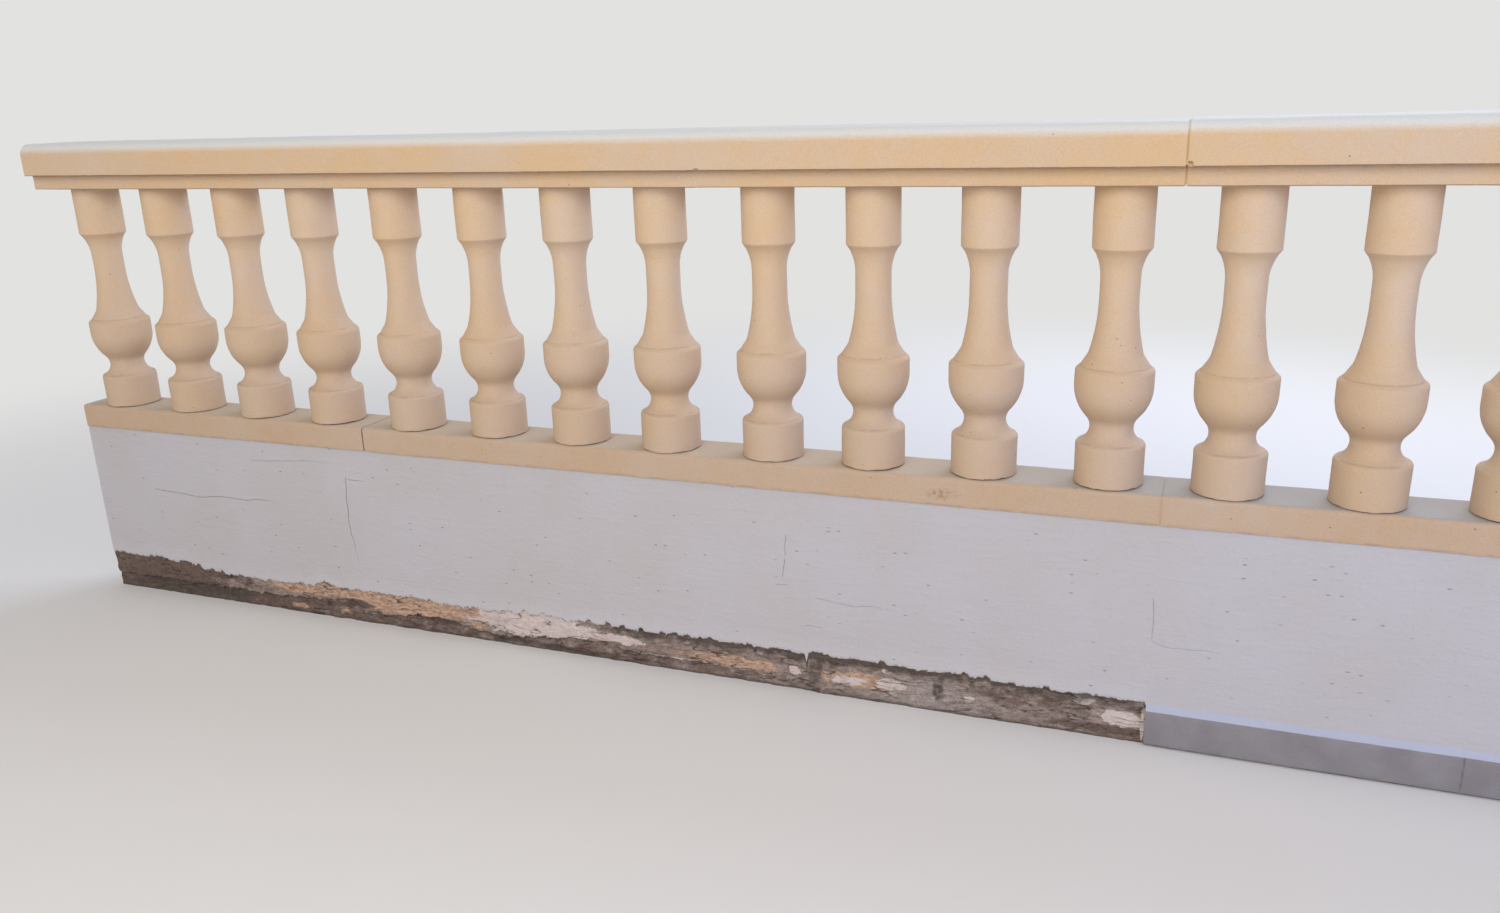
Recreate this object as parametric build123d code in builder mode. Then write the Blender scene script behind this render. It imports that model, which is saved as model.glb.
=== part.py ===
"""A run of cast-stone balustrade on a rendered dwarf wall, four bays long.

Each bay has one length of base rail, four turned balusters and one length of handrail.
The wall is masonry with a render coat. Its foot had tiled skirting, which is left only
in the last bay, so elsewhere the mortar bed shows below the broken edge of the render.

Millimetres, +X along the wall, -Y the front, +Z up. The origin is at the middle of the
wall's foot, on the ground.
"""
from build123d import *
import os

# Layout
bay_length = 1000.0
bay_count = 4
balusters_per_bay = 4
rail_joint = 4.0  # mortar joint between two lengths of rail
joint_recess = 2.0  # how far the joint's mortar lies behind the rails' faces
# How far the mason set each baluster off its even pitch, from left to right
setting_out = (2, 2, 2, -2, 8, 8, -2, -6, 7, -2, -2, 12, -3, 5, 2, 2)

# Dwarf wall
wall_height = 508.0
core_thickness = 110.0
render_thickness = 12.0

# Skirting, its mortar and the edge of the render above the bare mortar
tile_length = 600.0
tile_height = 80.0
tile_thickness = 9.0
tile_joint = 3.0
tile_gap = 5.0  # under the tiles
cove_height = 10.0  # mortar cove along the top of the tiles
bare_bed_height = 88.0
bare_bed_thickness = 8.0
# Broken edge of the render: share of the bare length, height above the mortar bed
broken_edge = (
    (0.0, 24),
    (0.1, 30),
    (0.26, 27),
    (0.35, 16),
    (0.41, 7),
    (0.56, 11),
    (0.77, 17),
    (0.89, 14),
)

# Base rail
base_rail_width = 142.0
base_rail_height = 64.0
base_rail_round = 9.0

# Baluster, stage by stage from its foot up
plinth_radius = 71.0
plinth_height = 89.0
plinth_arris = 7.0
neck_foot_radius = 64.0
ledge_rise = 2.0
neck_radius = 44.8
neck_foot_rise = 30.5  # from the ledge to the narrowest of the neck
neck_curve = 33.0  # radius of the neck's upper curve
bowl_radius = 79.8
bowl_rise = 88.0  # from the narrowest of the neck to where the bowl is widest
bowl_side = 34.5
bowl_arris = 7.0
margin_radius = 70.0  # the crease in which the rim's sloping margin ends
margin_rise = 8.0
flare_radius = 55.0
shoulder_rise = 23.5
shoulder_fillet = 30.0
shaft_radius = 39.4
flare_rise = 117.0
shaft_length = 38.5
cove_radius = 51.5
cove_rise = 49.5
capital_radius = 59.6
bell_rise = 11.0
capital_height = 124.5
capital_arris = 3.0

# Handrail
band_width = 170.0
band_height = 37.0
slab_width = 220.0
slab_height = 84.0
slab_round = 30.0
lower_arris = 2.0

# Places worked out from the sizes above
run_length = bay_length * bay_count
left_end = -run_length / 2
right_end = run_length / 2
pitch = bay_length / balusters_per_bay
core_front = -core_thickness / 2
wall_front = core_front - render_thickness
tiled_start = right_end - bay_length
bare_length = tiled_start - left_end
tile_top = tile_gap + tile_height
cove_top = tile_top + cove_height
base_rail_top = wall_height + base_rail_height

ledge = plinth_height + ledge_rise
neck = ledge + neck_foot_rise
bowl = neck + bowl_rise
rim = bowl + bowl_side
margin_head = rim + margin_rise
shoulder = margin_head + shoulder_rise
shaft_foot = shoulder + flare_rise
shaft_head = shaft_foot + shaft_length
cove_head = shaft_head + cove_rise
capital_foot = cove_head + bell_rise
baluster_height = capital_foot + capital_height
handrail_foot = base_rail_top + baluster_height

os.makedirs("parts", exist_ok=True)


def save(piece, name):
    """Label a finished piece and write its STEP file."""
    piece.part.label = name
    export_step(piece.part, f"parts/{name}.step")


def save_block(name, x_span, y_span, z_span):
    """Make and save a plain block between two limits on each axis."""
    low_corner = (x_span[0], y_span[0], z_span[0])
    size = [high - low for low, high in (x_span, y_span, z_span)]
    with BuildPart(Plane(low_corner)) as block:
        Box(*size, align=(Align.MIN, Align.MIN, Align.MIN))
    save(block, name)


def section_plane(x):
    """Return the plane across the wall at x, whose own axes are +Y and +Z."""
    return Plane((x, 0, 0), x_dir=(0, 1, 0), z_dir=(1, 0, 0))


def front_plane(x, y, z):
    """Return the upright plane facing the front, with its corner at x, y, z."""
    return Plane((x, y, z), x_dir=(1, 0, 0), z_dir=(0, -1, 0))


# Masonry core of the wall
save_block(
    "wall_core",
    (left_end + render_thickness, right_end - render_thickness),
    (core_front, -core_front),
    (0, wall_height),
)

# Render on the back and the two ends, which goes down to the ground
save_block("back_render", (left_end, right_end), (-core_front, -wall_front), (0, wall_height))
save_block(
    "left_end_render",
    (left_end, left_end + render_thickness),
    (core_front, -core_front),
    (0, wall_height),
)
save_block(
    "right_end_render",
    (right_end - render_thickness, right_end),
    (core_front, -core_front),
    (0, wall_height),
)

# Render on the front, whose lower edge is broken as far as the tiles are gone
with BuildPart() as front_render:
    with BuildSketch(front_plane(left_end, core_front, 0)):
        with BuildLine():
            Polyline(
                *[(share * bare_length, bare_bed_height + rise) for share, rise in broken_edge],
                (bare_length, cove_top),
                (run_length, cove_top),
                (run_length, wall_height),
                (0, wall_height),
                close=True,
            )
        make_face()
    extrude(amount=render_thickness)
save(front_render, "front_render")

# Mortar bed that the lost tiles left bare, and the one behind the tiles that stayed
save_block(
    "bare_mortar_bed",
    (left_end, tiled_start),
    (core_front - bare_bed_thickness, core_front),
    (0, bare_bed_height),
)
save_block(
    "tile_mortar_bed", (tiled_start, right_end), (wall_front, core_front), (0, cove_top)
)

# Skirting tiles, the last one cut to the end of the wall
tile_left = tiled_start
tile_number = 1
while tile_left < right_end:
    tile_right = min(tile_left + tile_length, right_end)
    save_block(
        f"skirting_tile_{tile_number}",
        (tile_left, tile_right),
        (wall_front - tile_thickness, wall_front),
        (tile_gap, tile_top),
    )
    tile_left = tile_right + tile_joint
    tile_number += 1

# Mortar cove that slopes from the render down to the front edge of the tiles
with BuildPart() as skirting_cove:
    with BuildSketch(section_plane(tiled_start)):
        with BuildLine():
            Polyline(
                (wall_front, tile_top),
                (wall_front - tile_thickness, tile_top),
                (wall_front, cove_top),
                close=True,
            )
        make_face()
    extrude(amount=bay_length)
save(skirting_cove, "skirting_cove")


def base_rail_section():
    """Draw the section of the base rail, with its top edges rounded."""
    with Locations((0, wall_height)):
        Rectangle(base_rail_width, base_rail_height, align=(Align.CENTER, Align.MIN))
    fillet(vertices().group_by(Axis.Y)[-1], base_rail_round)


def handrail_section():
    """Draw the section of the handrail: a slab with a round top edge over a narrower band."""
    with Locations((0, handrail_foot)):
        Rectangle(band_width, band_height, align=(Align.CENTER, Align.MIN))
    with Locations((0, handrail_foot + band_height)):
        Rectangle(slab_width, slab_height, align=(Align.CENTER, Align.MIN))
    fillet(vertices().group_by(Axis.Y)[-1], slab_round)
    chamfer(vertices().group_by(Axis.Y)[0], lower_arris)
    chamfer(vertices().group_by(Axis.X)[0].sort_by(Axis.Y)[0], lower_arris)
    chamfer(vertices().group_by(Axis.X)[-1].sort_by(Axis.Y)[0], lower_arris)


# One length of each rail for each bay
for name, draw_section in (("base_rail", base_rail_section), ("handrail", handrail_section)):
    for bay in range(bay_count):
        bay_start = left_end + bay * bay_length
        with BuildPart() as rail:
            with BuildSketch(section_plane(bay_start + rail_joint / 2)):
                draw_section()
            extrude(amount=bay_length - rail_joint)
        save(rail, f"{name}_{bay + 1}")

    # Mortar in the joints between the lengths
    with BuildPart() as joints:
        for bay in range(1, bay_count):
            joint_start = left_end + bay * bay_length - rail_joint / 2
            with BuildSketch(section_plane(joint_start)):
                draw_section()
                offset(amount=-joint_recess, kind=Kind.INTERSECTION, mode=Mode.REPLACE)
            extrude(amount=rail_joint)
    save(joints, f"{name}_joints")


def baluster_profile():
    """Draw half the baluster's outline, from its axis outward, with its foot at zero."""
    swell = bowl_radius - neck_radius
    both_curves = (bowl_rise**2 + swell**2) / (2 * swell)
    share = neck_curve / both_curves
    turn = (neck_radius + share * swell, neck + share * bowl_rise)
    with BuildLine() as outline:
        Line((0, 0), (plinth_radius, 0))
        Line((plinth_radius, 0), (plinth_radius, plinth_height))
        Line((plinth_radius, plinth_height), (neck_foot_radius, ledge))
        TangentArc((neck_radius, neck), (neck_foot_radius, ledge), tangent=(0, -1))
        TangentArc((neck_radius, neck), turn, tangent=(0, 1))
        TangentArc((bowl_radius, bowl), turn, tangent=(0, -1))
        Line((bowl_radius, bowl), (bowl_radius, rim))
        Line((bowl_radius, rim), (margin_radius, margin_head))
        Line((margin_radius, margin_head), (flare_radius, shoulder))
        TangentArc((shaft_radius, shaft_foot), (flare_radius, shoulder), tangent=(0, -1))
        Line((shaft_radius, shaft_foot), (shaft_radius, shaft_head))
        TangentArc((shaft_radius, shaft_head), (cove_radius, cove_head), tangent=(0, 1))
        Line((cove_radius, cove_head), (capital_radius, capital_foot))
        Line((capital_radius, capital_foot), (capital_radius, baluster_height))
        Line((capital_radius, baluster_height), (0, baluster_height))
        Line((0, baluster_height), (0, 0))
    make_face(outline.edges())
    softened = (
        ((plinth_radius, plinth_height), plinth_arris),
        ((bowl_radius, rim), bowl_arris),
        ((flare_radius, shoulder), shoulder_fillet),
        ((capital_radius, capital_foot), capital_arris),
    )
    for corner, radius in softened:
        fillet(vertices().sort_by_distance(corner)[0], radius)


# Balusters, turned about upright axes along the middle of the rails
for number in range(bay_count * balusters_per_bay):
    axis_x = left_end + (number + 0.5) * pitch + setting_out[number % len(setting_out)]
    with BuildPart() as baluster:
        with BuildSketch(front_plane(axis_x, 0, base_rail_top)):
            baluster_profile()
        revolve(axis=Axis((axis_x, 0, 0), (0, 0, 1)))
    save(baluster, f"baluster_{number + 1}")
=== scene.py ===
"""The finished look of a cast-stone balustrade on a rendered dwarf wall, four bays long.

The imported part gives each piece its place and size. The balusters, rails, front and back
render, bare mortar and skirting are modelled again here as years outdoors left them, and
the pieces that keep their plain shape take a finish. Metres, +X along the wall, -Y front.
"""

import logging
import math
from collections.abc import Callable, Iterable
from dataclasses import dataclass
from enum import Enum
from itertools import pairwise

import bpy
from mathutils import Matrix, Vector, noise


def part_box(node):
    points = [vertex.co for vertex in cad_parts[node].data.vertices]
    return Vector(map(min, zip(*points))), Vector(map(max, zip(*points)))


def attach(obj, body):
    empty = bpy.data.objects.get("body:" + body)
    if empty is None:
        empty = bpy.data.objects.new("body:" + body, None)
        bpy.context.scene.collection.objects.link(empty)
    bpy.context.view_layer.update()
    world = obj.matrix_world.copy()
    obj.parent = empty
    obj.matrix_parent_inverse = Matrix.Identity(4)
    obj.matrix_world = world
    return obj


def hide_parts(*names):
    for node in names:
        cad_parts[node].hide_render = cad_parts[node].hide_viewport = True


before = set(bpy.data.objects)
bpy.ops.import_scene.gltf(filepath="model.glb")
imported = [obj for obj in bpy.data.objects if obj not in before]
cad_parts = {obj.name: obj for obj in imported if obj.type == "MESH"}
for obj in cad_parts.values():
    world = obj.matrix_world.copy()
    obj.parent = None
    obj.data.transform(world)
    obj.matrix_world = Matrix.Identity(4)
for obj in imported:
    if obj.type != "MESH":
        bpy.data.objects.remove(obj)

MM = 0.001
BODY = "root"
BAYS = 4
BAND_HEIGHT = 37 * MM
# Points nearer to each other than this count as one
SAME_PLACE = 0.01 * MM

Colour = tuple[float, float, float, float]
Point = tuple[float, float]
Triple = tuple[float, float, float]
Material = bpy.types.Material
Piece = bpy.types.Object
Socket = bpy.types.NodeSocket
Tree = bpy.types.NodeTree

log = logging.getLogger("balustrade")


class Slot(Enum):
    """The names of the part's material slots."""

    CAST_STONE = "cast_stone"
    WHITE_RENDER = "white_render"
    BED_MORTAR = "bed_mortar"
    JOINT_MORTAR = "joint_mortar"
    STONEWARE = "stoneware"


class Fill(Enum):
    """How a joint between two rails has lasted, and how far its mortar lies back."""

    FLUSH = 0.4 * MM
    HAIRLINE = 1.2 * MM
    RAKED = 3.5 * MM
    OPEN = 14.0 * MM


class Coat(Enum):
    """What clings to the bare mortar, with its painted shade, and the channel of the mesh's marks that holds
    it.
    """

    OCHRE = 0
    CREAM = 1
    BROWN = 2
    # Sooty marks, with the painted shade under the upper layer and under the render's edge
    SOOT = 3


# Shading


def linear(hex_colour: str) -> Colour:
    """Turn an sRGB hex colour into the linear one that a shader takes.

    Args:
        hex_colour: A hash and six hex digits.

    Returns:
        Red, green and blue, linear, and an alpha of one.
    """
    levels = [int(hex_colour[start : start + 2], 16) / 255 for start in (1, 3, 5)]
    red, green, blue = (
        ((level + 0.055) / 1.055) ** 2.4 if level > 0.04045 else level / 12.92 for level in levels
    )
    return red, green, blue, 1.0


def add_node(
    tree: Tree, kind: str, inputs: dict[int | str, object] | None = None, **settings: object
) -> bpy.types.Node:
    """Add a node, set it up and fill or link its inputs.

    Args:
        tree: The node tree it goes in.
        kind: The node's type name.
        inputs: A value, or a socket to link, for each input by name or number.
        **settings: Its properties, by name.

    Returns:
        The new node.
    """
    node = tree.nodes.new(kind)
    for name, value in settings.items():
        setattr(node, name, value)
    for key, value in (inputs or {}).items():
        if isinstance(value, Socket):
            tree.links.new(value, node.inputs[key])
        else:
            node.inputs[key].default_value = value
    return node


def blend(tree: Tree, value: Socket, ends: tuple[float, float], first: str, second: str) -> Socket:
    """Build a colour that turns into another as a value rises.

    Args:
        tree: The material's node tree.
        value: The value.
        ends: Where the turn starts and where it is done.
        first: The colour before it, as a hex value.
        second: The colour after it.

    Returns:
        The socket of the colour.
    """
    start, end = ends
    share = add_node(tree, "ShaderNodeMapRange", {"Value": value, "From Min": start, "From Max": end})
    return add_node(
        tree,
        "ShaderNodeMix",
        {0: share.outputs[0], 6: linear(first), 7: linear(second)},
        data_type="RGBA",
    ).outputs[2]


def soft_patch(tree: Tree, place: Socket, middle: Triple, reach: Triple, most: float) -> Socket:
    """Build an oval patch that fades out towards its rim.

    Args:
        tree: The material's node tree.
        place: Object coordinates, in metres.
        middle: The middle of the patch.
        reach: How far it reaches along each axis.
        most: Its strength in the middle.

    Returns:
        The socket of its strength, from nothing to most.
    """
    scaled = add_node(
        tree,
        "ShaderNodeMapping",
        {"Vector": place, "Location": middle, "Scale": reach},
        vector_type="TEXTURE",
    ).outputs[0]
    off = add_node(tree, "ShaderNodeVectorMath", {0: scaled}, operation="LENGTH").outputs["Value"]
    return add_node(
        tree,
        "ShaderNodeMapRange",
        {"Value": off, "From Min": 0.2, "From Max": 1.0, "To Min": most, "To Max": 0},
        interpolation_type="SMOOTHSTEP",
    ).outputs[0]


def scattered_pits(tree: Tree, place: Socket, scale: float, share: float, rim: float) -> Socket:
    """Build pits in a few cells of a random pattern.

    Args:
        tree: The material's node tree.
        place: The coordinates of the pattern.
        scale: How many cells there are to one unit of the coordinates.
        share: The share of the cells that have a pit.
        rim: How far a pit's slope reaches from its middle, as a share of a cell.

    Returns:
        The socket of the pits' depth, from nothing to one.
    """
    cells = add_node(tree, "ShaderNodeTexVoronoi", {"Vector": place, "Scale": scale})
    rare = add_node(tree, "ShaderNodeSeparateColor", {0: cells.outputs["Color"]}).outputs[0]
    chosen = add_node(tree, "ShaderNodeMath", {0: rare, 1: 1 - share}, operation="GREATER_THAN").outputs[0]
    pit = add_node(
        tree,
        "ShaderNodeMapRange",
        {"Value": cells.outputs["Distance"], "From Min": 0.08, "From Max": rim, "To Min": 1, "To Max": 0},
    ).outputs[0]
    return add_node(tree, "ShaderNodeMath", {0: chosen, 1: pit}, operation="MULTIPLY").outputs[0]


@dataclass(frozen=True)
class Relief:
    """One layer of fine relief on a finish, which stands out unless it is sunk."""

    height: Socket
    depth: float
    strength: float = 0.8
    sunk: bool = False


@dataclass(frozen=True)
class Finish:
    """What every finish shares: a matt mineral surface with no clear coat."""

    name: str = "plain"
    roughness: float = 0.85
    ior: float = 1.5

    def colour_and_relief(self, tree: Tree, place: Socket) -> tuple[Socket, list[Relief]]:
        """Build the nodes of one finish.

        Args:
            tree: The material's node tree.
            place: Object coordinates, in metres.

        Returns:
            The socket of the colour, and the layers of relief from the lowest up.
        """
        raise NotImplementedError

    def make(self) -> Material:
        """Make the finish as a material.

        Returns:
            The material, whose layers of relief lie one on another.
        """
        material = bpy.data.materials.new(self.name)
        material.use_nodes = True
        tree = material.node_tree
        tree.nodes.clear()
        place = add_node(tree, "ShaderNodeTexCoord").outputs["Object"]
        colour, reliefs = self.colour_and_relief(tree, place)
        below = {}
        for relief in reliefs:
            bump = {"Height": relief.height, "Distance": relief.depth, "Strength": relief.strength}
            raised = add_node(tree, "ShaderNodeBump", bump | below, invert=relief.sunk)
            below = {"Normal": raised.outputs[0]}
        shader = add_node(
            tree,
            "ShaderNodeBsdfPrincipled",
            {"Base Color": colour, "Roughness": self.roughness, "IOR": self.ior} | below,
        )
        add_node(tree, "ShaderNodeOutputMaterial", {"Surface": shader.outputs[0]})
        return material


@dataclass(frozen=True)
class MasonryPaint(Finish):
    """Matt masonry paint, brushed on precast stone.

    It looks chalky and even, with a fine sandy grain under it, and a few pinholes from the
    mould that are darkened as painted shade. Where a face looks up it takes a pale dusting
    and painted light, which may turn to another colour along the run. Dirt keeps to the
    lines where two pieces or two stages meet and to a smudge or two. Faces that look down,
    under the edges that overhang, turn grimy and take painted shade, the creases take
    faint lines of painted shade, and the paint darkens towards the ground as painted shade.
    """

    name: str = "matt_masonry_paint_on_cast_stone"
    roughness: float = 0.8
    paint: str = "#d8b994"
    faded: str = "#d6bea6"
    # Where a face looks up it takes a pale dusting with painted light from above
    dust_and_light: str = "#cfc3b2"
    dust_and_light_cover: float = 0.25
    dust_and_light_slope: tuple[float, float] = (0.72, 0.98)
    far_dust_and_light: str | None = None
    dust_and_light_turn: tuple[float, float] = (0.45, 0.95)
    # Grimy colour with painted shade where a face looks down; the dirt lines and the crease lines of painted
    # shade take it too
    grime_and_shade: str = "#9c7a58"
    grime_and_shade_cover: float = 0.3
    grime_and_shade_slope: tuple[float, float] = (-0.75, -0.1)
    dirt_lines: tuple[float, ...] = ()
    dirt_reach: float = 3.5 * MM
    dirt_cover: float = 0.75
    # Faint lines of painted shade in the creases
    crease_shade_lines: tuple[float, ...] = ()
    crease_shade_reach: float = 2.5 * MM
    crease_shade_cover: float = 0.3
    # Painted shade: the paint darkens from the head down to the foot
    low_shade: str = "#b39b88"
    low_shade_foot: float = 500 * MM
    low_shade_head: float = 1150 * MM
    low_shade_cover: float = 0.5
    smudges: tuple[tuple[Triple, Triple], ...] = ()
    smudge_grain: float = 9 * MM
    smudge_cover: float = 0.75
    # The pinholes are darkened as painted shade in the holes
    pinhole_shade: str = "#7d5f45"
    pinhole_share: float = 0.012
    pinhole_rim: float = 0.2
    patch_size: float = 260 * MM
    mottle_size: float = 35 * MM
    pinhole_spacing: float = 9 * MM
    peel_size: float = 7 * MM
    # Real sand is 0.5 mm, which no picture of the whole run shows, so it is drawn coarser
    sand_size: float = 3.0 * MM
    sand_contrast: float = 0.05

    def colour_and_relief(self, tree: Tree, place: Socket) -> tuple[Socket, list[Relief]]:
        """Build the paint, its dirt and painted light and shade, its pinholes and grain. See the base class.
        """
        patches, mottle, sand, peel = (
            add_node(
                tree, "ShaderNodeTexNoise", {"Vector": place, "Scale": 1 / size, "Detail": detail}
            ).outputs[0]
            for size, detail in (
                (self.patch_size, 3),
                (self.mottle_size, 4),
                (self.sand_size, 2),
                (self.peel_size, 2),
            )
        )
        axes = add_node(tree, "ShaderNodeSeparateXYZ", {0: place}).outputs
        painted = self.faded_and_low_shaded_paint(tree, patches, mottle, axes["Z"])
        with_facing_light = self.dust_grime_and_facing_light(tree, axes["X"], painted)
        dirty_and_shaded = self.dirtied_and_shaded(tree, place, axes["Z"], mottle, with_facing_light)

        pinholes = scattered_pits(
            tree, place, 1 / self.pinhole_spacing, self.pinhole_share, self.pinhole_rim
        )
        # Pinholes darkened as painted shade
        pitted = add_node(
            tree, "ShaderNodeMix", {0: pinholes, 6: dirty_and_shaded, 7: linear(self.pinhole_shade)}, data_type="RGBA"
        ).outputs[2]
        grains = add_node(
            tree,
            "ShaderNodeMapRange",
            {
                "Value": sand,
                "From Min": 0.3,
                "From Max": 0.7,
                "To Min": 1 - self.sand_contrast,
                "To Max": 1 + self.sand_contrast,
            },
        ).outputs[0]
        colour = add_node(
            tree, "ShaderNodeMix", {0: 1.0, 6: pitted, 7: grains}, data_type="RGBA", blend_type="MULTIPLY"
        ).outputs[2]
        return colour, [
            Relief(sand, 0.5 * MM, 0.6),
            Relief(peel, 0.7 * MM, 0.5),
            Relief(pinholes, 1.0 * MM, sunk=True),
        ]

    def faded_and_low_shaded_paint(self, tree: Tree, patches: Socket, mottle: Socket, height: Socket) -> Socket:
        """Build the paint's colour, faded in patches and darker towards the ground as painted shade.

        Args:
            tree: The material's node tree.
            patches: The noise that fades the paint in broad patches.
            mottle: The noise that breaks the patches up.
            height: The height of the place that is shaded.

        Returns:
            The socket of the colour.
        """
        both = add_node(
            tree, "ShaderNodeMath", {0: mottle, 1: 0.5, 2: patches}, operation="MULTIPLY_ADD"
        ).outputs[0]
        painted = blend(tree, both, (0.55, 0.95), self.paint, self.faded)
        # Painted shade, darker towards the ground
        shaded_low = add_node(
            tree,
            "ShaderNodeMapRange",
            {
                "Value": height,
                "From Min": self.low_shade_foot,
                "From Max": self.low_shade_head,
                "To Min": self.low_shade_cover,
                "To Max": 0,
            },
            interpolation_type="SMOOTHSTEP",
        ).outputs[0]
        return add_node(
            tree, "ShaderNodeMix", {0: shaded_low, 6: painted, 7: linear(self.low_shade)}, data_type="RGBA"
        ).outputs[2]

    def dust_grime_and_facing_light(self, tree: Tree, along: Socket, colour: Socket) -> Socket:
        """Make a colour grimy with painted shade where a face looks down, and give it a dusting and painted
        light where it looks up.

        Args:
            tree: The material's node tree.
            along: The place that is shaded, along X.
            colour: The colour under the dusting, the grimy film and the painted light and shade.

        Returns:
            The socket of the colour with both.
        """
        facing = add_node(tree, "ShaderNodeNewGeometry").outputs["Normal"]
        upward = add_node(tree, "ShaderNodeSeparateXYZ", {0: facing}).outputs["Z"]
        # Painted shade with a grimy film on faces that look down, painted light with a dusting on faces that
        # look up
        under, top_dust_and_light = (
            add_node(
                tree,
                "ShaderNodeMapRange",
                {"Value": upward, "From Min": start, "From Max": end, "To Min": first, "To Max": last},
                interpolation_type="SMOOTHSTEP",
            ).outputs[0]
            for (start, end), first, last in (
                (self.grime_and_shade_slope, self.grime_and_shade_cover, 0),
                (self.dust_and_light_slope, 0, self.dust_and_light_cover),
            )
        )
        dust_and_light = blend(tree, along, self.dust_and_light_turn, self.dust_and_light, self.far_dust_and_light or self.dust_and_light)
        for cover, coat in ((under, linear(self.grime_and_shade)), (top_dust_and_light, dust_and_light)):
            colour = add_node(
                tree, "ShaderNodeMix", {0: cover, 6: colour, 7: coat}, data_type="RGBA"
            ).outputs[2]
        return colour

    def dirtied_and_shaded(
        self, tree: Tree, place: Socket, height: Socket, mottle: Socket, colour: Socket
    ) -> Socket:
        """Lay the lines and the smudges of dirt, and the crease lines of painted shade, over a colour.

        Args:
            tree: The material's node tree.
            place: Object coordinates, in metres.
            height: The height of the place that is shaded.
            mottle: The noise that breaks the lines.
            colour: The colour under the dirt and the painted shade.

        Returns:
            The socket of the colour with its dirt and painted shade.
        """
        covers = [
            self.dirt_and_shade_line(tree, height, mottle, line, self.dirt_reach, self.dirt_cover)
            for line in self.dirt_lines
        ]
        # The crease lines are painted shade
        covers += [
            self.dirt_and_shade_line(tree, height, mottle, line, self.crease_shade_reach, self.crease_shade_cover)
            for line in self.crease_shade_lines
        ]
        covers += [self.smudge(tree, place, middle, reach) for middle, reach in self.smudges]
        for cover in covers:
            colour = add_node(
                tree, "ShaderNodeMix", {0: cover, 6: colour, 7: linear(self.grime_and_shade)}, data_type="RGBA"
            ).outputs[2]
        return colour

    def dirt_and_shade_line(
        self, tree: Tree, height: Socket, mottle: Socket, line: float, reach: float, most: float
    ) -> Socket:
        """Build a broken dark line: dirt where two parts meet, painted shade in a crease.

        Args:
            tree: The material's node tree.
            height: The height of the place that is shaded.
            mottle: The noise that breaks the line.
            line: The height of the line.
            reach: How far above and below the line it reaches.
            most: How much of the colour it covers at the line itself.

        Returns:
            The socket of how much the line covers.
        """
        off = add_node(tree, "ShaderNodeMath", {0: height, 1: line}, operation="SUBTRACT").outputs[0]
        away = add_node(tree, "ShaderNodeMath", {0: off}, operation="ABSOLUTE").outputs[0]
        near = add_node(
            tree,
            "ShaderNodeMapRange",
            {"Value": away, "From Min": 0, "From Max": reach, "To Min": most, "To Max": 0},
            interpolation_type="SMOOTHSTEP",
        ).outputs[0]
        broken = add_node(
            tree, "ShaderNodeMapRange", {"Value": mottle, "From Min": 0.42, "From Max": 0.58, "To Min": 0.1}
        ).outputs[0]
        return add_node(tree, "ShaderNodeMath", {0: near, 1: broken}, operation="MULTIPLY").outputs[0]

    def smudge(self, tree: Tree, place: Socket, middle: Triple, reach: Triple) -> Socket:
        """Build how much of the colour a speckled smudge of dirt covers.

        Args:
            tree: The material's node tree.
            place: Object coordinates, in metres.
            middle: The middle of the smudge.
            reach: How far it reaches along each axis.

        Returns:
            The socket of how much the smudge covers.
        """
        smeared = soft_patch(tree, place, middle, reach, self.smudge_cover)
        specks = add_node(
            tree, "ShaderNodeTexNoise", {"Vector": place, "Scale": 1 / self.smudge_grain, "Detail": 3}
        ).outputs[0]
        speckled = add_node(
            tree, "ShaderNodeMapRange", {"Value": specks, "From Min": 0.44, "From Max": 0.6, "To Min": 0.15}
        ).outputs[0]
        return add_node(tree, "ShaderNodeMath", {0: smeared, 1: speckled}, operation="MULTIPLY").outputs[0]


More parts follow.
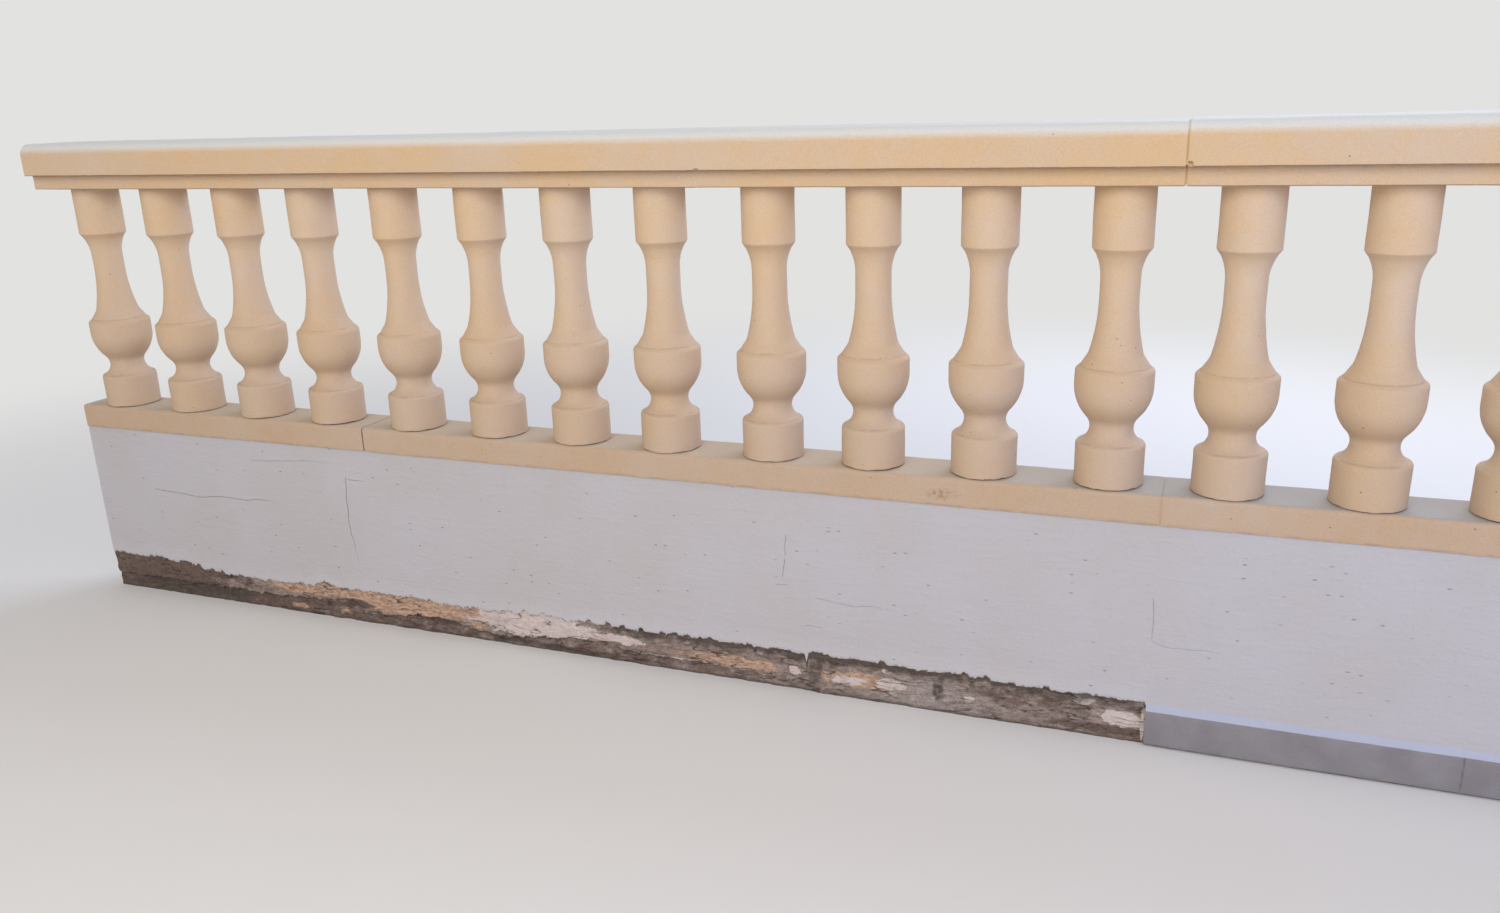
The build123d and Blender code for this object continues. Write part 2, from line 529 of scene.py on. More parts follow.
@dataclass(frozen=True)
class PaintedRender(Finish):
    """Cement render under white wall paint, trowelled level and brushed sideways.

    It looks pale and flat, faintly clouded, with low strokes and a few short pits and
    scratches that catch the light, the pits darkened as painted shade. Near a broken edge
    painted light makes it paler, and the paint flakes off there.
    """

    name: str = "white_wall_paint_on_render"
    roughness: float = 0.9
    white: str = "#bfbcc2"
    worn: str = "#bdb9bc"
    # Painted light: the paler colour near the broken edge
    rim: str = "#cac7cc"
    edge_light_cover: float = 0.5
    broken: str = "#8d8379"
    chip_size: float = 7 * MM
    # Painted shade in the pits
    pit: str = "#86807d"
    pit_shade_cover: float = 0.7
    cloud_size: float = 220 * MM
    stroke_length: float = 80 * MM
    stroke_height: float = 16 * MM
    pimple_size: float = 9 * MM
    pit_length: float = 26 * MM
    pit_height: float = 11 * MM
    pit_share: float = 0.09
    pit_rim: float = 0.22

    def colour_and_relief(self, tree: Tree, place: Socket) -> tuple[Socket, list[Relief]]:
        """Build the clouds, the edge's painted light, the strokes, the pimples and the pits. See the base
        class.
        """
        clouds, chips, pimples = (
            add_node(
                tree, "ShaderNodeTexNoise", {"Vector": place, "Scale": 1 / size, "Detail": detail}
            ).outputs[0]
            for size, detail in ((self.cloud_size, 6), (self.chip_size, 3), (self.pimple_size, 3))
        )
        painted = blend(tree, clouds, (0.36, 0.64), self.white, self.worn)

        # Near the broken edge: paler as painted light, and flaked to bare render
        marks = add_node(tree, "ShaderNodeVertexColor", layer_name=RenderCoat.EDGE).outputs["Color"]
        near = add_node(tree, "ShaderNodeSeparateColor", {0: marks}).outputs[0]
        pale = add_node(tree, "ShaderNodeMath", {0: near, 1: self.edge_light_cover}, operation="MULTIPLY").outputs[0]
        flaked = add_node(
            tree, "ShaderNodeMath", {0: chips, 1: 0.5, 2: near}, operation="MULTIPLY_ADD"
        ).outputs[0]
        bare = add_node(
            tree, "ShaderNodeMapRange", {"Value": flaked, "From Min": 1.21, "From Max": 1.25}
        ).outputs[0]

        squeezed, drawn_out = (
            add_node(
                tree, "ShaderNodeMapping", {"Vector": place, "Scale": (1 / length, 1 / length, 1 / height)}
            ).outputs[0]
            for length, height in (
                (self.pit_length, self.pit_height),
                (self.stroke_length, self.stroke_height),
            )
        )
        pits = scattered_pits(tree, squeezed, 1.0, self.pit_share, self.pit_rim)
        # Painted shade darkens the pits
        dark = add_node(tree, "ShaderNodeMath", {0: pits, 1: self.pit_shade_cover}, operation="MULTIPLY").outputs[0]
        strokes = add_node(
            tree, "ShaderNodeTexNoise", {"Vector": drawn_out, "Scale": 1.0, "Detail": 3, "Distortion": 0.6}
        ).outputs[0]

        for cover, coat in ((pale, self.rim), (bare, self.broken), (dark, self.pit)):
            painted = add_node(
                tree, "ShaderNodeMix", {0: cover, 6: painted, 7: linear(coat)}, data_type="RGBA"
            ).outputs[2]
        return painted, [
            Relief(strokes, 2.4 * MM),
            Relief(pimples, 1.8 * MM),
            Relief(pits, 1.2 * MM, sunk=True),
        ]


@dataclass(frozen=True)
class BareMortar(Finish):
    """Old sand and cement mortar, bared where its tiles came off.

    It looks rough and brown-grey, and paler where it has dried. Ochre and cream paint from
    before clings to it in patches, which the mesh marks. Dampness and painted shade darken
    its foot, it is sooty in places, and painted shade darkens the seam under its upper layer
    and the strip under the render's edge.
    """

    name: str = "bare_cement_mortar_with_old_paint"
    roughness: float = 0.95
    mortar: str = "#9b8b84"
    dark_mortar: str = "#776860"
    ochre: str = "#d0af98"
    ochre_stain: str = "#a07e6a"
    cream: str = "#d3c4c0"
    brown: str = "#65534b"
    # Sooty colour, and painted shade at the foot, under the upper layer and under the render's edge
    soot_and_shade: str = "#524740"
    dry: str = "#aba09c"
    dry_middle: Triple = (0.51, -63 * MM, 36 * MM)
    dry_reach: Triple = (0.23, 0.23, 60 * MM)
    dry_cover: float = 0.6
    # Also the colour of the painted shade in the seam under the upper layer
    crack: str = "#2f2622"
    crack_length: float = 95 * MM
    crack_height: float = 17 * MM
    crack_width: float = 0.02
    crack_break: float = 45 * MM
    seam_shade_cover: float = 0.85
    flake_depth: float = 1.2 * MM
    # Dampness and painted shade darken the foot up to this height
    damp_and_shade_height: float = 10 * MM
    mottle_size: float = 34 * MM
    blotch_size: float = 16 * MM
    layering: float = 2.4
    sand_size: float = 3.5 * MM
    raggedness: float = 1.2
    thickest_coat: float = 0.92
    grain_on_paint: float = 0.35

    def colour_and_relief(self, tree: Tree, place: Socket) -> tuple[Socket, list[Relief]]:
        """Build the mortar, the paint left on it and its painted shade. See the base class."""
        layered = add_node(
            tree, "ShaderNodeMapping", {"Vector": place, "Scale": (1.0, 1.0, self.layering)}
        ).outputs[0]
        mottle, blotches, sand = (
            add_node(
                tree,
                "ShaderNodeTexNoise",
                {"Vector": pattern, "Scale": 1 / size, "Detail": detail, "Roughness": roughness},
            ).outputs[0]
            for pattern, size, detail, roughness in (
                (layered, self.mottle_size, 7, 0.65),
                (layered, self.blotch_size, 5, 0.6),
                (place, self.sand_size, 4, 0.7),
            )
        )
        bare = self.bare_colour(tree, place, mottle)
        coated, flakes = self.coats(tree, mottle, blotches, bare)
        height = add_node(tree, "ShaderNodeSeparateXYZ", {0: place}).outputs["Z"]
        # Dampness with painted shade at the foot, where the mortar meets the ground
        damp_and_shade_at_foot = add_node(
            tree,
            "ShaderNodeMapRange",
            {"Value": height, "From Min": 0, "From Max": self.damp_and_shade_height, "To Min": 0.95, "To Max": 0},
        ).outputs[0]
        # The cracks, and the seam's painted shade under the upper layer, take the crack colour
        cracked_and_seam_shade = add_node(
            tree,
            "ShaderNodeMath",
            {0: self.cracks(tree, place), 1: self.seam(tree, mottle)},
            operation="MAXIMUM",
        ).outputs[0]
        for cover, coat in ((damp_and_shade_at_foot, self.soot_and_shade), (cracked_and_seam_shade, self.crack)):
            coated = add_node(
                tree, "ShaderNodeMix", {0: cover, 6: coated, 7: linear(coat)}, data_type="RGBA"
            ).outputs[2]

        bareness = add_node(
            tree, "ShaderNodeMapRange", {"Value": flakes, "To Min": 1.0, "To Max": self.grain_on_paint}
        ).outputs[0]
        uneven = add_node(tree, "ShaderNodeMath", {0: sand, 1: blotches}, operation="ADD").outputs[0]
        grain = add_node(
            tree,
            "ShaderNodeMapRange",
            {"Value": uneven, "From Min": 0.8, "From Max": 1.2, "To Min": 0.66, "To Max": 1.3},
        ).outputs[0]
        grainy = add_node(
            tree,
            "ShaderNodeMix",
            {0: bareness, 6: coated, 7: grain},
            data_type="RGBA",
            blend_type="MULTIPLY",
        ).outputs[2]
        gritty = add_node(tree, "ShaderNodeMath", {0: sand, 1: bareness}, operation="MULTIPLY").outputs[0]
        return grainy, [
            Relief(mottle, 4.0 * MM, 0.9),
            Relief(flakes, self.flake_depth, 1.0),
            Relief(cracked_and_seam_shade, 1.5 * MM, 1.0, sunk=True),
            Relief(gritty, 0.8 * MM),
        ]

    def bare_colour(self, tree: Tree, place: Socket, mottle: Socket) -> Socket:
        """Build the colour of the mortar itself, paler in the stretch that has dried.

        Args:
            tree: The material's node tree.
            place: Object coordinates, in metres.
            mottle: The noise that darkens the mortar in places.

        Returns:
            The socket of the colour.
        """
        mortar = blend(tree, mottle, (0.38, 0.62), self.mortar, self.dark_mortar)
        dried = soft_patch(tree, place, self.dry_middle, self.dry_reach, self.dry_cover)
        return add_node(
            tree, "ShaderNodeMix", {0: dried, 6: mortar, 7: linear(self.dry)}, data_type="RGBA"
        ).outputs[2]

    def coats(
        self, tree: Tree, mottle: Socket, blotches: Socket, colour: Socket
    ) -> tuple[Socket, Socket]:
        """Lay what clings to the mortar over its colour, where the mesh marks it.

        Args:
            tree: The material's node tree.
            mottle: The noise that frays the edge of each coat.
            blotches: The noise that stains the ochre paint.
            colour: The mortar's colour.

        Returns:
            The socket of the colour, and that of how thick the flakes of paint are.
        """
        marks = add_node(tree, "ShaderNodeVertexColor", layer_name=MortarBed.MARKS)
        split = add_node(tree, "ShaderNodeSeparateColor", {0: marks.outputs["Color"]})
        amounts = [*split.outputs, marks.outputs["Alpha"]]
        ochre = blend(tree, blotches, (0.42, 0.6), self.ochre, self.ochre_stain)
        edge = 0.5 + self.raggedness / 2
        flakes = 0.0
        for kind, coat, softness in (
            (Coat.BROWN, linear(self.brown), 0.3),
            (Coat.OCHRE, ochre, 0.14),
            (Coat.CREAM, linear(self.cream), 0.07),
            (Coat.SOOT, linear(self.soot_and_shade), 0.3),
        ):
            ragged = add_node(
                tree,
                "ShaderNodeMath",
                {0: mottle, 1: self.raggedness, 2: amounts[kind.value]},
                operation="MULTIPLY_ADD",
            ).outputs[0]
            cover = add_node(
                tree,
                "ShaderNodeMapRange",
                {
                    "Value": ragged,
                    "From Min": edge - softness,
                    "From Max": edge + softness,
                    "To Max": self.thickest_coat,
                },
            ).outputs[0]
            colour = add_node(
                tree, "ShaderNodeMix", {0: cover, 6: colour, 7: coat}, data_type="RGBA"
            ).outputs[2]
            if kind in (Coat.OCHRE, Coat.CREAM):
                flakes = add_node(tree, "ShaderNodeMath", {0: flakes, 1: cover}, operation="ADD").outputs[0]
        return colour, flakes

    def cracks(self, tree: Tree, place: Socket) -> Socket:
        """Build the thin cracks that run along between flakes of mortar, with breaks in them.

        Args:
            tree: The material's node tree.
            place: Object coordinates, in metres.

        Returns:
            The socket of how dark the cracks are.
        """
        across = 1 / self.crack_length
        drawn_out = add_node(
            tree, "ShaderNodeMapping", {"Vector": place, "Scale": (across, across, 1 / self.crack_height)}
        ).outputs[0]
        layers = add_node(
            tree, "ShaderNodeTexNoise", {"Vector": drawn_out, "Scale": 1.0, "Detail": 1.5}
        ).outputs[0]
        above = add_node(tree, "ShaderNodeMath", {0: layers, 1: 0.5}, operation="SUBTRACT").outputs[0]
        away = add_node(tree, "ShaderNodeMath", {0: above}, operation="ABSOLUTE").outputs[0]
        line = add_node(
            tree,
            "ShaderNodeMapRange",
            {"Value": away, "From Min": 0, "From Max": self.crack_width, "To Min": 0.9, "To Max": 0},
        ).outputs[0]
        stretches = add_node(
            tree, "ShaderNodeTexNoise", {"Vector": place, "Scale": 1 / self.crack_break, "Detail": 0}
        ).outputs[0]
        broken = add_node(
            tree, "ShaderNodeMapRange", {"Value": stretches, "From Min": 0.44, "From Max": 0.54}
        ).outputs[0]
        return add_node(tree, "ShaderNodeMath", {0: line, 1: broken}, operation="MULTIPLY").outputs[0]

    def seam(self, tree: Tree, mottle: Socket) -> Socket:
        """Build the painted shade in the gap under the upper layer, which the mesh marks.

        Args:
            tree: The material's node tree.
            mottle: The noise that closes the gap in places.

        Returns:
            The socket of how dark the painted shade is.
        """
        marks = add_node(tree, "ShaderNodeVertexColor", layer_name=MortarBed.SEAM).outputs["Color"]
        near = add_node(tree, "ShaderNodeSeparateColor", {0: marks}).outputs[0]
        open_to = add_node(
            tree,
            "ShaderNodeMapRange",
            {"Value": mottle, "From Min": 0.4, "From Max": 0.52, "To Min": 0.3, "To Max": self.seam_shade_cover},
        ).outputs[0]
        return add_node(tree, "ShaderNodeMath", {0: near, 1: open_to}, operation="MULTIPLY").outputs[0]


@dataclass(frozen=True)
class Stoneware(Finish):
    """Unglazed extruded stoneware: dense, matt and grey-brown, with a fine fleck."""

    name: str = "unglazed_flecked_stoneware"
    roughness: float = 0.6
    body: str = "#8f8b8f"
    shade: str = "#847f84"
    fleck: str = "#6d686c"
    cloud_size: float = 60 * MM
    # The real fleck is about 1 mm, and is drawn twice that so that it shows
    fleck_size: float = 2.0 * MM

    def colour_and_relief(self, tree: Tree, place: Socket) -> tuple[Socket, list[Relief]]:
        """Build the clouded body and its flecks. See the base class."""
        cloud, grain = (
            add_node(
                tree, "ShaderNodeTexNoise", {"Vector": place, "Scale": 1 / size, "Detail": detail}
            ).outputs[0]
            for size, detail in ((self.cloud_size, 5), (self.fleck_size, 2))
        )
        clay = blend(tree, cloud, (0.35, 0.65), self.body, self.shade)
        flecks = add_node(
            tree, "ShaderNodeMapRange", {"Value": grain, "From Min": 0.56, "From Max": 0.7, "To Max": 0.8}
        ).outputs[0]
        colour = add_node(
            tree, "ShaderNodeMix", {0: flecks, 6: clay, 7: linear(self.fleck)}, data_type="RGBA"
        ).outputs[2]
        return colour, [Relief(grain, 0.2 * MM, 0.5)]


@dataclass(frozen=True)
class RoughMortar(Finish):
    """Pointing mortar or bare blockwork: coarse, dull and mottled, never painted."""

    name: str = "raked_pointing_mortar"
    roughness: float = 0.95
    light: str = "#a58a68"
    dark: str = "#6f5a45"
    mottle_size: float = 18 * MM
    sand_size: float = 2.5 * MM

    def colour_and_relief(self, tree: Tree, place: Socket) -> tuple[Socket, list[Relief]]:
        """Build the mottle and the grain. See the base class."""
        mottle, sand = (
            add_node(
                tree, "ShaderNodeTexNoise", {"Vector": place, "Scale": 1 / size, "Detail": detail}
            ).outputs[0]
            for size, detail in ((self.mottle_size, 6), (self.sand_size, 3))
        )
        return blend(tree, mottle, (0.35, 0.65), self.light, self.dark), [Relief(sand, 1.0 * MM)]


# Modelling


def work_on(piece: Piece) -> None:
    """Deselect everything, then select one piece and make it active.

    Args:
        piece: The piece.
    """
    bpy.ops.object.select_all(action="DESELECT")
    piece.select_set(True)
    bpy.context.view_layer.objects.active = piece


def edit_part(piece: Piece, kind: str, chosen: Callable[..., bool]) -> None:
    """Go into edit mode with only some vertices or faces of a piece selected.

    Args:
        piece: The piece.
        kind: VERT or FACE.
        chosen: Tells whether a vertex or face is one of them.
    """
    work_on(piece)
    bpy.ops.object.mode_set(mode="EDIT")
    bpy.ops.mesh.select_mode(type=kind)
    bpy.ops.mesh.select_all(action="DESELECT")
    bpy.ops.object.mode_set(mode="OBJECT")
    parts = piece.data.polygons if kind == "FACE" else piece.data.vertices
    for part in parts:
        part.select = chosen(part)
    bpy.ops.object.mode_set(mode="EDIT")


def newest(name: str) -> Piece:
    """Name the primitive just added and put its place in its mesh.

    Args:
        name: The name it is given.

    Returns:
        The new piece, at the origin, unturned and unscaled.
    """
    piece = bpy.context.object
    piece.name = name
    piece.data.name = name
    bpy.ops.object.transform_apply(location=True, rotation=True, scale=True)
    return piece


def copy_of_node(node: str, name: str) -> Piece:
    """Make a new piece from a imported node's mesh, with its seams merged.

    Args:
        node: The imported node.
        name: The new piece's name.

    Returns:
        The new piece, with flat faces in one and no loose triangles.
    """
    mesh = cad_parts[node].data.copy()
    mesh.name = name
    mesh.materials.clear()
    piece = bpy.data.objects.new(name, mesh)
    bpy.context.scene.collection.objects.link(piece)
    work_on(piece)
    bpy.ops.object.mode_set(mode="EDIT")
    bpy.ops.mesh.select_all(action="SELECT")
    bpy.ops.mesh.remove_doubles(threshold=SAME_PLACE)
    bpy.ops.mesh.dissolve_limited(angle_limit=math.radians(1))
    bpy.ops.mesh.customdata_custom_splitnormals_clear()
    bpy.ops.object.mode_set(mode="OBJECT")
    return piece


def cut_across(piece: Piece, axis: int, places: Iterable[float]) -> None:
    """Cut a piece right through at each place along one axis, to give it edges there.

    Args:
        piece: The piece.
        axis: The number of the axis, from nothing to two.
        places: Where along the axis to cut.
    """
    work_on(piece)
    bpy.ops.object.mode_set(mode="EDIT")
    for place in places:
        bpy.ops.mesh.select_all(action="SELECT")
        where = [0.0, 0.0, 0.0]
        where[axis] = place
        facing = [0.0, 0.0, 0.0]
        facing[axis] = 1.0
        bpy.ops.mesh.bisect(plane_co=where, plane_no=facing)
    bpy.ops.object.mode_set(mode="OBJECT")


def reshape(piece: Piece, moved: Callable[[Vector, Vector], Vector]) -> None:
    """Move each vertex of a piece.

    Args:
        piece: The piece.
        moved: Gives a vertex's new place from its old one and its normal.
    """
    places = [moved(vertex.co.copy(), vertex.normal.copy()) for vertex in piece.data.vertices]
    piece.data.vertices.foreach_set("co", [value for place in places for value in place])
    piece.data.update()


def apply_modifier(piece: Piece, kind: str, **settings: object) -> None:
    """Add a modifier to a piece, set it up and apply it.

    Args:
        piece: The piece.
        kind: The modifier's type name.
        **settings: Its properties, by name.
    """
    modifier = piece.modifiers.new(kind.lower(), kind)
    for name, value in settings.items():
        setattr(modifier, name, value)
    work_on(piece)
    bpy.ops.object.modifier_apply(modifier=modifier.name)


def carve(piece: Piece, cutter: Piece) -> None:
    """Take one piece's shape out of another, and remove the cutter."""
    apply_modifier(piece, "BOOLEAN", operation="DIFFERENCE", object=cutter, solver="EXACT")
    bpy.data.objects.remove(cutter)


def smooth(piece: Piece, degrees: float = 30) -> None:
    """Shade a piece smooth, apart from its edges that turn by more than some degrees."""
    work_on(piece)
    bpy.ops.object.shade_smooth_by_angle(angle=math.radians(degrees))


def hand_over(piece: Piece, slot: Slot, material: Material, *nodes: str) -> None:
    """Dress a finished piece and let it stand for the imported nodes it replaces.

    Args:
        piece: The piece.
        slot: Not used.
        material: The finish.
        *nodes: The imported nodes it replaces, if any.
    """
    piece.data.materials.clear()
    piece.data.materials.append(material)
    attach(piece, BODY)
    if nodes:
        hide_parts(*nodes)
    log.info("%s: %d faces", piece.name, len(piece.data.polygons))


def finish_node(node: str, material: Material) -> None:
    """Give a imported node, which keeps its plain shape, its finish.

    Args:
        node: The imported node.
        material: The finish.
    """
    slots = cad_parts[node].data.materials
    slots.clear()
    slots.append(material)
    log.info("%s keeps its shape", node)


def lump(place: Vector, grain: float, depth: float, seed: float = 0.0) -> float:
    """Return a smooth random height whose lumps are about as wide as the grain.

    Args:
        place: Where on the piece, in metres.
        grain: The width of a lump.
        depth: The greatest height, up or down.
        seed: A different number gives a different pattern.

    Returns:
        A height between plus and minus the depth.
    """
    return depth * noise.noise(place / grain + Vector((seed, seed * 0.7, -seed)))


def along_course(course: tuple[Point, ...], place: float) -> float:
    """Read a course of points, each a place and a value, at one place between them.

    Args:
        course: The points, from the lowest place up.
        place: The place to read it at.

    Returns:
        The value there, which stays the same past each end.
    """
    if place <= course[0][0]:
        return course[0][1]
    for (start, low), (end, high) in pairwise(course):
        if place <= end:
            return low + (high - low) * (place - start) / (end - start)
    return course[-1][1]


def steps_between(low: float, high: float, spacing: float) -> list[float]:
    """Divide a length evenly at about the given spacing, leaving out both its ends."""
    count = max(1, round((high - low) / spacing))
    return [low + (high - low) * number / count for number in range(1, count)]


@dataclass
class TurnedBaluster:
    """A baluster with a round plinth, turned about its upright axis and painted by hand."""

    seat_step: float = 12 * MM
    seat_gap: float = 2.6 * MM
    plinth_radius: float = 71 * MM
    plinth_height: float = 89 * MM
    neck_foot_radius: float = 64 * MM
    ledge_rise: float = 2 * MM
    neck_radius: float = 44.8 * MM
    neck_foot_rise: float = 30.5 * MM
    neck_curve: float = 33 * MM
    bowl_radius: float = 79.8 * MM
    bowl_rise: float = 88 * MM
    bowl_side: float = 34.5 * MM
    margin_radius: float = 70 * MM
    margin_rise: float = 8 * MM
    flare_radius: float = 55 * MM
    shoulder_rise: float = 23.5 * MM
    shaft_radius: float = 39.4 * MM
    flare_rise: float = 117 * MM
    shaft_length: float = 38.5 * MM
    cove_radius: float = 51.5 * MM
    cove_rise: float = 49.5 * MM
    capital_radius: float = 59.6 * MM
    bell_rise: float = 11 * MM
    head_step: float = 4 * MM
    head_gap: float = 0.8 * MM
    widest_arris: float = 5.2 * MM
    ring_spacing: float = 8 * MM
    segments: int = 64
    paint_depth: float = 0.7 * MM
    paint_grain: float = 55 * MM
    drip_grain: float = 17 * MM
    drip_depth: float = 1.8 * MM
    crumb_grain: float = 6 * MM
    crumb_depth: float = 0.7 * MM
    lowest_drip: float = 0.3 * MM
    bare_foot: float = 0.5 * MM
    bare_head: float = 0.1 * MM

    @property
    def crease_heights(self) -> tuple[float, float]:
        """Work out how high the creases at the neck's foot and inside the rim are.

        Returns:
            The heights above the baluster's foot.
        """
        ledge = self.plinth_height + self.ledge_rise
        rim = ledge + self.neck_foot_rise + self.bowl_rise + self.bowl_side
        return ledge, rim + self.margin_rise

    def rounded(self, upright: Point, other: Point) -> list[Point]:
        """Work out an arc that is upright at its first point, as radius and height.

        Args:
            upright: The arc's upright end.
            other: Its other end.

        Returns:
            The points of the arc, from the upright end.
        """
        (radius, height), (far_radius, far_height) = upright, other
        out, up = far_radius - radius, far_height - height
        curve = (out * out + up * up) / (2 * out)
        sweep = math.atan2(abs(up / curve), 1 - out / curve)
        count = max(2, round(abs(curve) * sweep / self.ring_spacing))
        turn = math.copysign(1, up) * abs(curve)
        angles = [sweep * number / count for number in range(count + 1)]
        return [
            (radius + curve * (1 - math.cos(angle)), height + turn * math.sin(angle))
            for angle in angles
        ]

    def outline(self, height: float) -> tuple[list[Point], dict[float, float]]:
        """Work out the outline from the foot up.

        Args:
            height: The baluster's whole height.

        Returns:
            Its points as radius and height, and for each arris its height and softness.
        """
        ledge = self.plinth_height + self.ledge_rise
        neck = ledge + self.neck_foot_rise
        bowl = neck + self.bowl_rise
        rim = bowl + self.bowl_side
        margin = rim + self.margin_rise
        shoulder = margin + self.shoulder_rise
        shaft_foot = shoulder + self.flare_rise
        shaft_head = shaft_foot + self.shaft_length
        cove_head = shaft_head + self.cove_rise
        capital_foot = cove_head + self.bell_rise
        swell = self.bowl_radius - self.neck_radius
        share = self.neck_curve * 2 * swell / (self.bowl_rise**2 + swell**2)
        turn = (self.neck_radius + share * swell, neck + share * self.bowl_rise)

        path = [(self.plinth_radius - self.seat_step, 0.0)]
        path += [(self.plinth_radius - self.seat_step, self.seat_gap)]
        path += [(self.plinth_radius, self.seat_gap), (self.plinth_radius, self.plinth_height)]
        path += reversed(self.rounded((self.neck_radius, neck), (self.neck_foot_radius, ledge)))
        path += self.rounded((self.neck_radius, neck), turn)[1:]
        path += list(reversed(self.rounded((self.bowl_radius, bowl), turn)))[1:]
        path += [(self.bowl_radius, rim), (self.margin_radius, margin)]
        path += reversed(self.rounded((self.shaft_radius, shaft_foot), (self.flare_radius, shoulder)))
        path += self.rounded((self.shaft_radius, shaft_head), (self.cove_radius, cove_head))
        path += [(self.capital_radius, capital_foot)]
        path += [(self.capital_radius, height - self.head_gap)]
        path += [(self.capital_radius - self.head_step, height - self.head_gap)]
        path += [(self.capital_radius - self.head_step, height)]
        arrises = {self.plinth_height: 1.0, ledge: 0.25, rim: 0.65, margin: 0.25}
        arrises |= {shoulder: 0.9, capital_foot: 0.35}
        return path, arrises

    def turn(self, height: float) -> Piece:
        """Model one baluster on the origin's upright axis, ring by ring.

        Args:
            height: The baluster's whole height.

        Returns:
            The plain baluster, not yet painted.
        """
        path, arrises = self.outline(height)
        rings = [path[0]]
        for (radius, low), (next_radius, high) in pairwise(path):
            length = math.hypot(next_radius - radius, high - low)
            count = max(1, round(length / self.ring_spacing))
            rings += [
                (radius + (next_radius - radius) * part / count, low + (high - low) * part / count)
                for part in range(1, count + 1)
            ]
        bpy.ops.object.select_all(action="DESELECT")
        bpy.ops.mesh.primitive_circle_add(
            vertices=self.segments, radius=rings[0][0], fill_type="NGON", location=(0, 0, 0)
        )
        piece = newest("turned_baluster")
        bpy.ops.object.mode_set(mode="EDIT")
        bpy.ops.mesh.select_all(action="SELECT")
        for (radius, low), (next_radius, high) in pairwise(rings):
            bpy.ops.mesh.extrude_region_move(TRANSFORM_OT_translate={"value": (0, 0, high - low)})
            growth = next_radius / radius
            bpy.ops.transform.resize(value=(growth, growth, 1), center_override=(0, 0, high))
        bpy.ops.mesh.select_all(action="SELECT")
        bpy.ops.mesh.normals_make_consistent(inside=False)
        bpy.ops.object.mode_set(mode="OBJECT")

        softness = piece.data.attributes.new("bevel_weight_edge", "FLOAT", "EDGE")
        points = piece.data.vertices
        for edge in piece.data.edges:
            low, high = (points[number].co.z for number in edge.vertices)
            for level, share in arrises.items():
                if abs(low - level) < SAME_PLACE and abs(high - level) < SAME_PLACE:
                    softness.data[edge.index].value = share
        apply_modifier(
            piece, "BEVEL", limit_method="WEIGHT", width=self.widest_arris, segments=3, profile=0.5
        )
        return piece

    def painted(self, piece: Piece, foot: float, head: float) -> None:
        """Give a placed baluster its uneven coats of paint and its ragged foot line.

        Args:
            piece: The baluster.
            foot: The height of its foot.
            head: The height of its head.
        """

        def moved(place: Vector, normal: Vector) -> Vector:
            """Move one vertex out or in along its normal, or up at the foot line. See reshape."""
            if place.z < foot + self.bare_foot or place.z > head - self.bare_head:
                return place
            if place.z < foot + 2 * self.seat_gap:
                ragged = lump(place, self.drip_grain, self.drip_depth)
                ragged += lump(place, self.crumb_grain, self.crumb_depth)
                place.z = max(place.z + ragged, foot + self.lowest_drip)
            push = lump(place, self.paint_grain, self.paint_depth)
            push += lump(place, self.paint_grain / 4, self.paint_depth / 4)
            return place + normal * push

        reshape(piece, moved)

    def build(self, material: Material) -> None:
        """Model a baluster once, copy it to each baluster's place and paint each copy.

        Args:
            material: The paint.
        """
        nodes = sorted(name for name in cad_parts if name.startswith("baluster_"))
        low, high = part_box(nodes[0])
        pattern = self.turn(high.z - low.z)
        for node in nodes:
            low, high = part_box(node)
            work_on(pattern)
            bpy.ops.object.duplicate(linked=False)
            bpy.ops.transform.translate(value=((low.x + high.x) / 2, (low.y + high.y) / 2, low.z))
            piece = newest(f"painted_{node}")
            self.painted(piece, low.z, high.z)
            smooth(piece, 32)
            hand_over(piece, Slot.CAST_STONE, material, node)
        bpy.data.objects.remove(pattern)


@dataclass(frozen=True)
class Chip:
    """A bite out of a rail's edge: the rail it is in, its middle and its reach."""

    node: str
    place: Triple
    reach: Triple


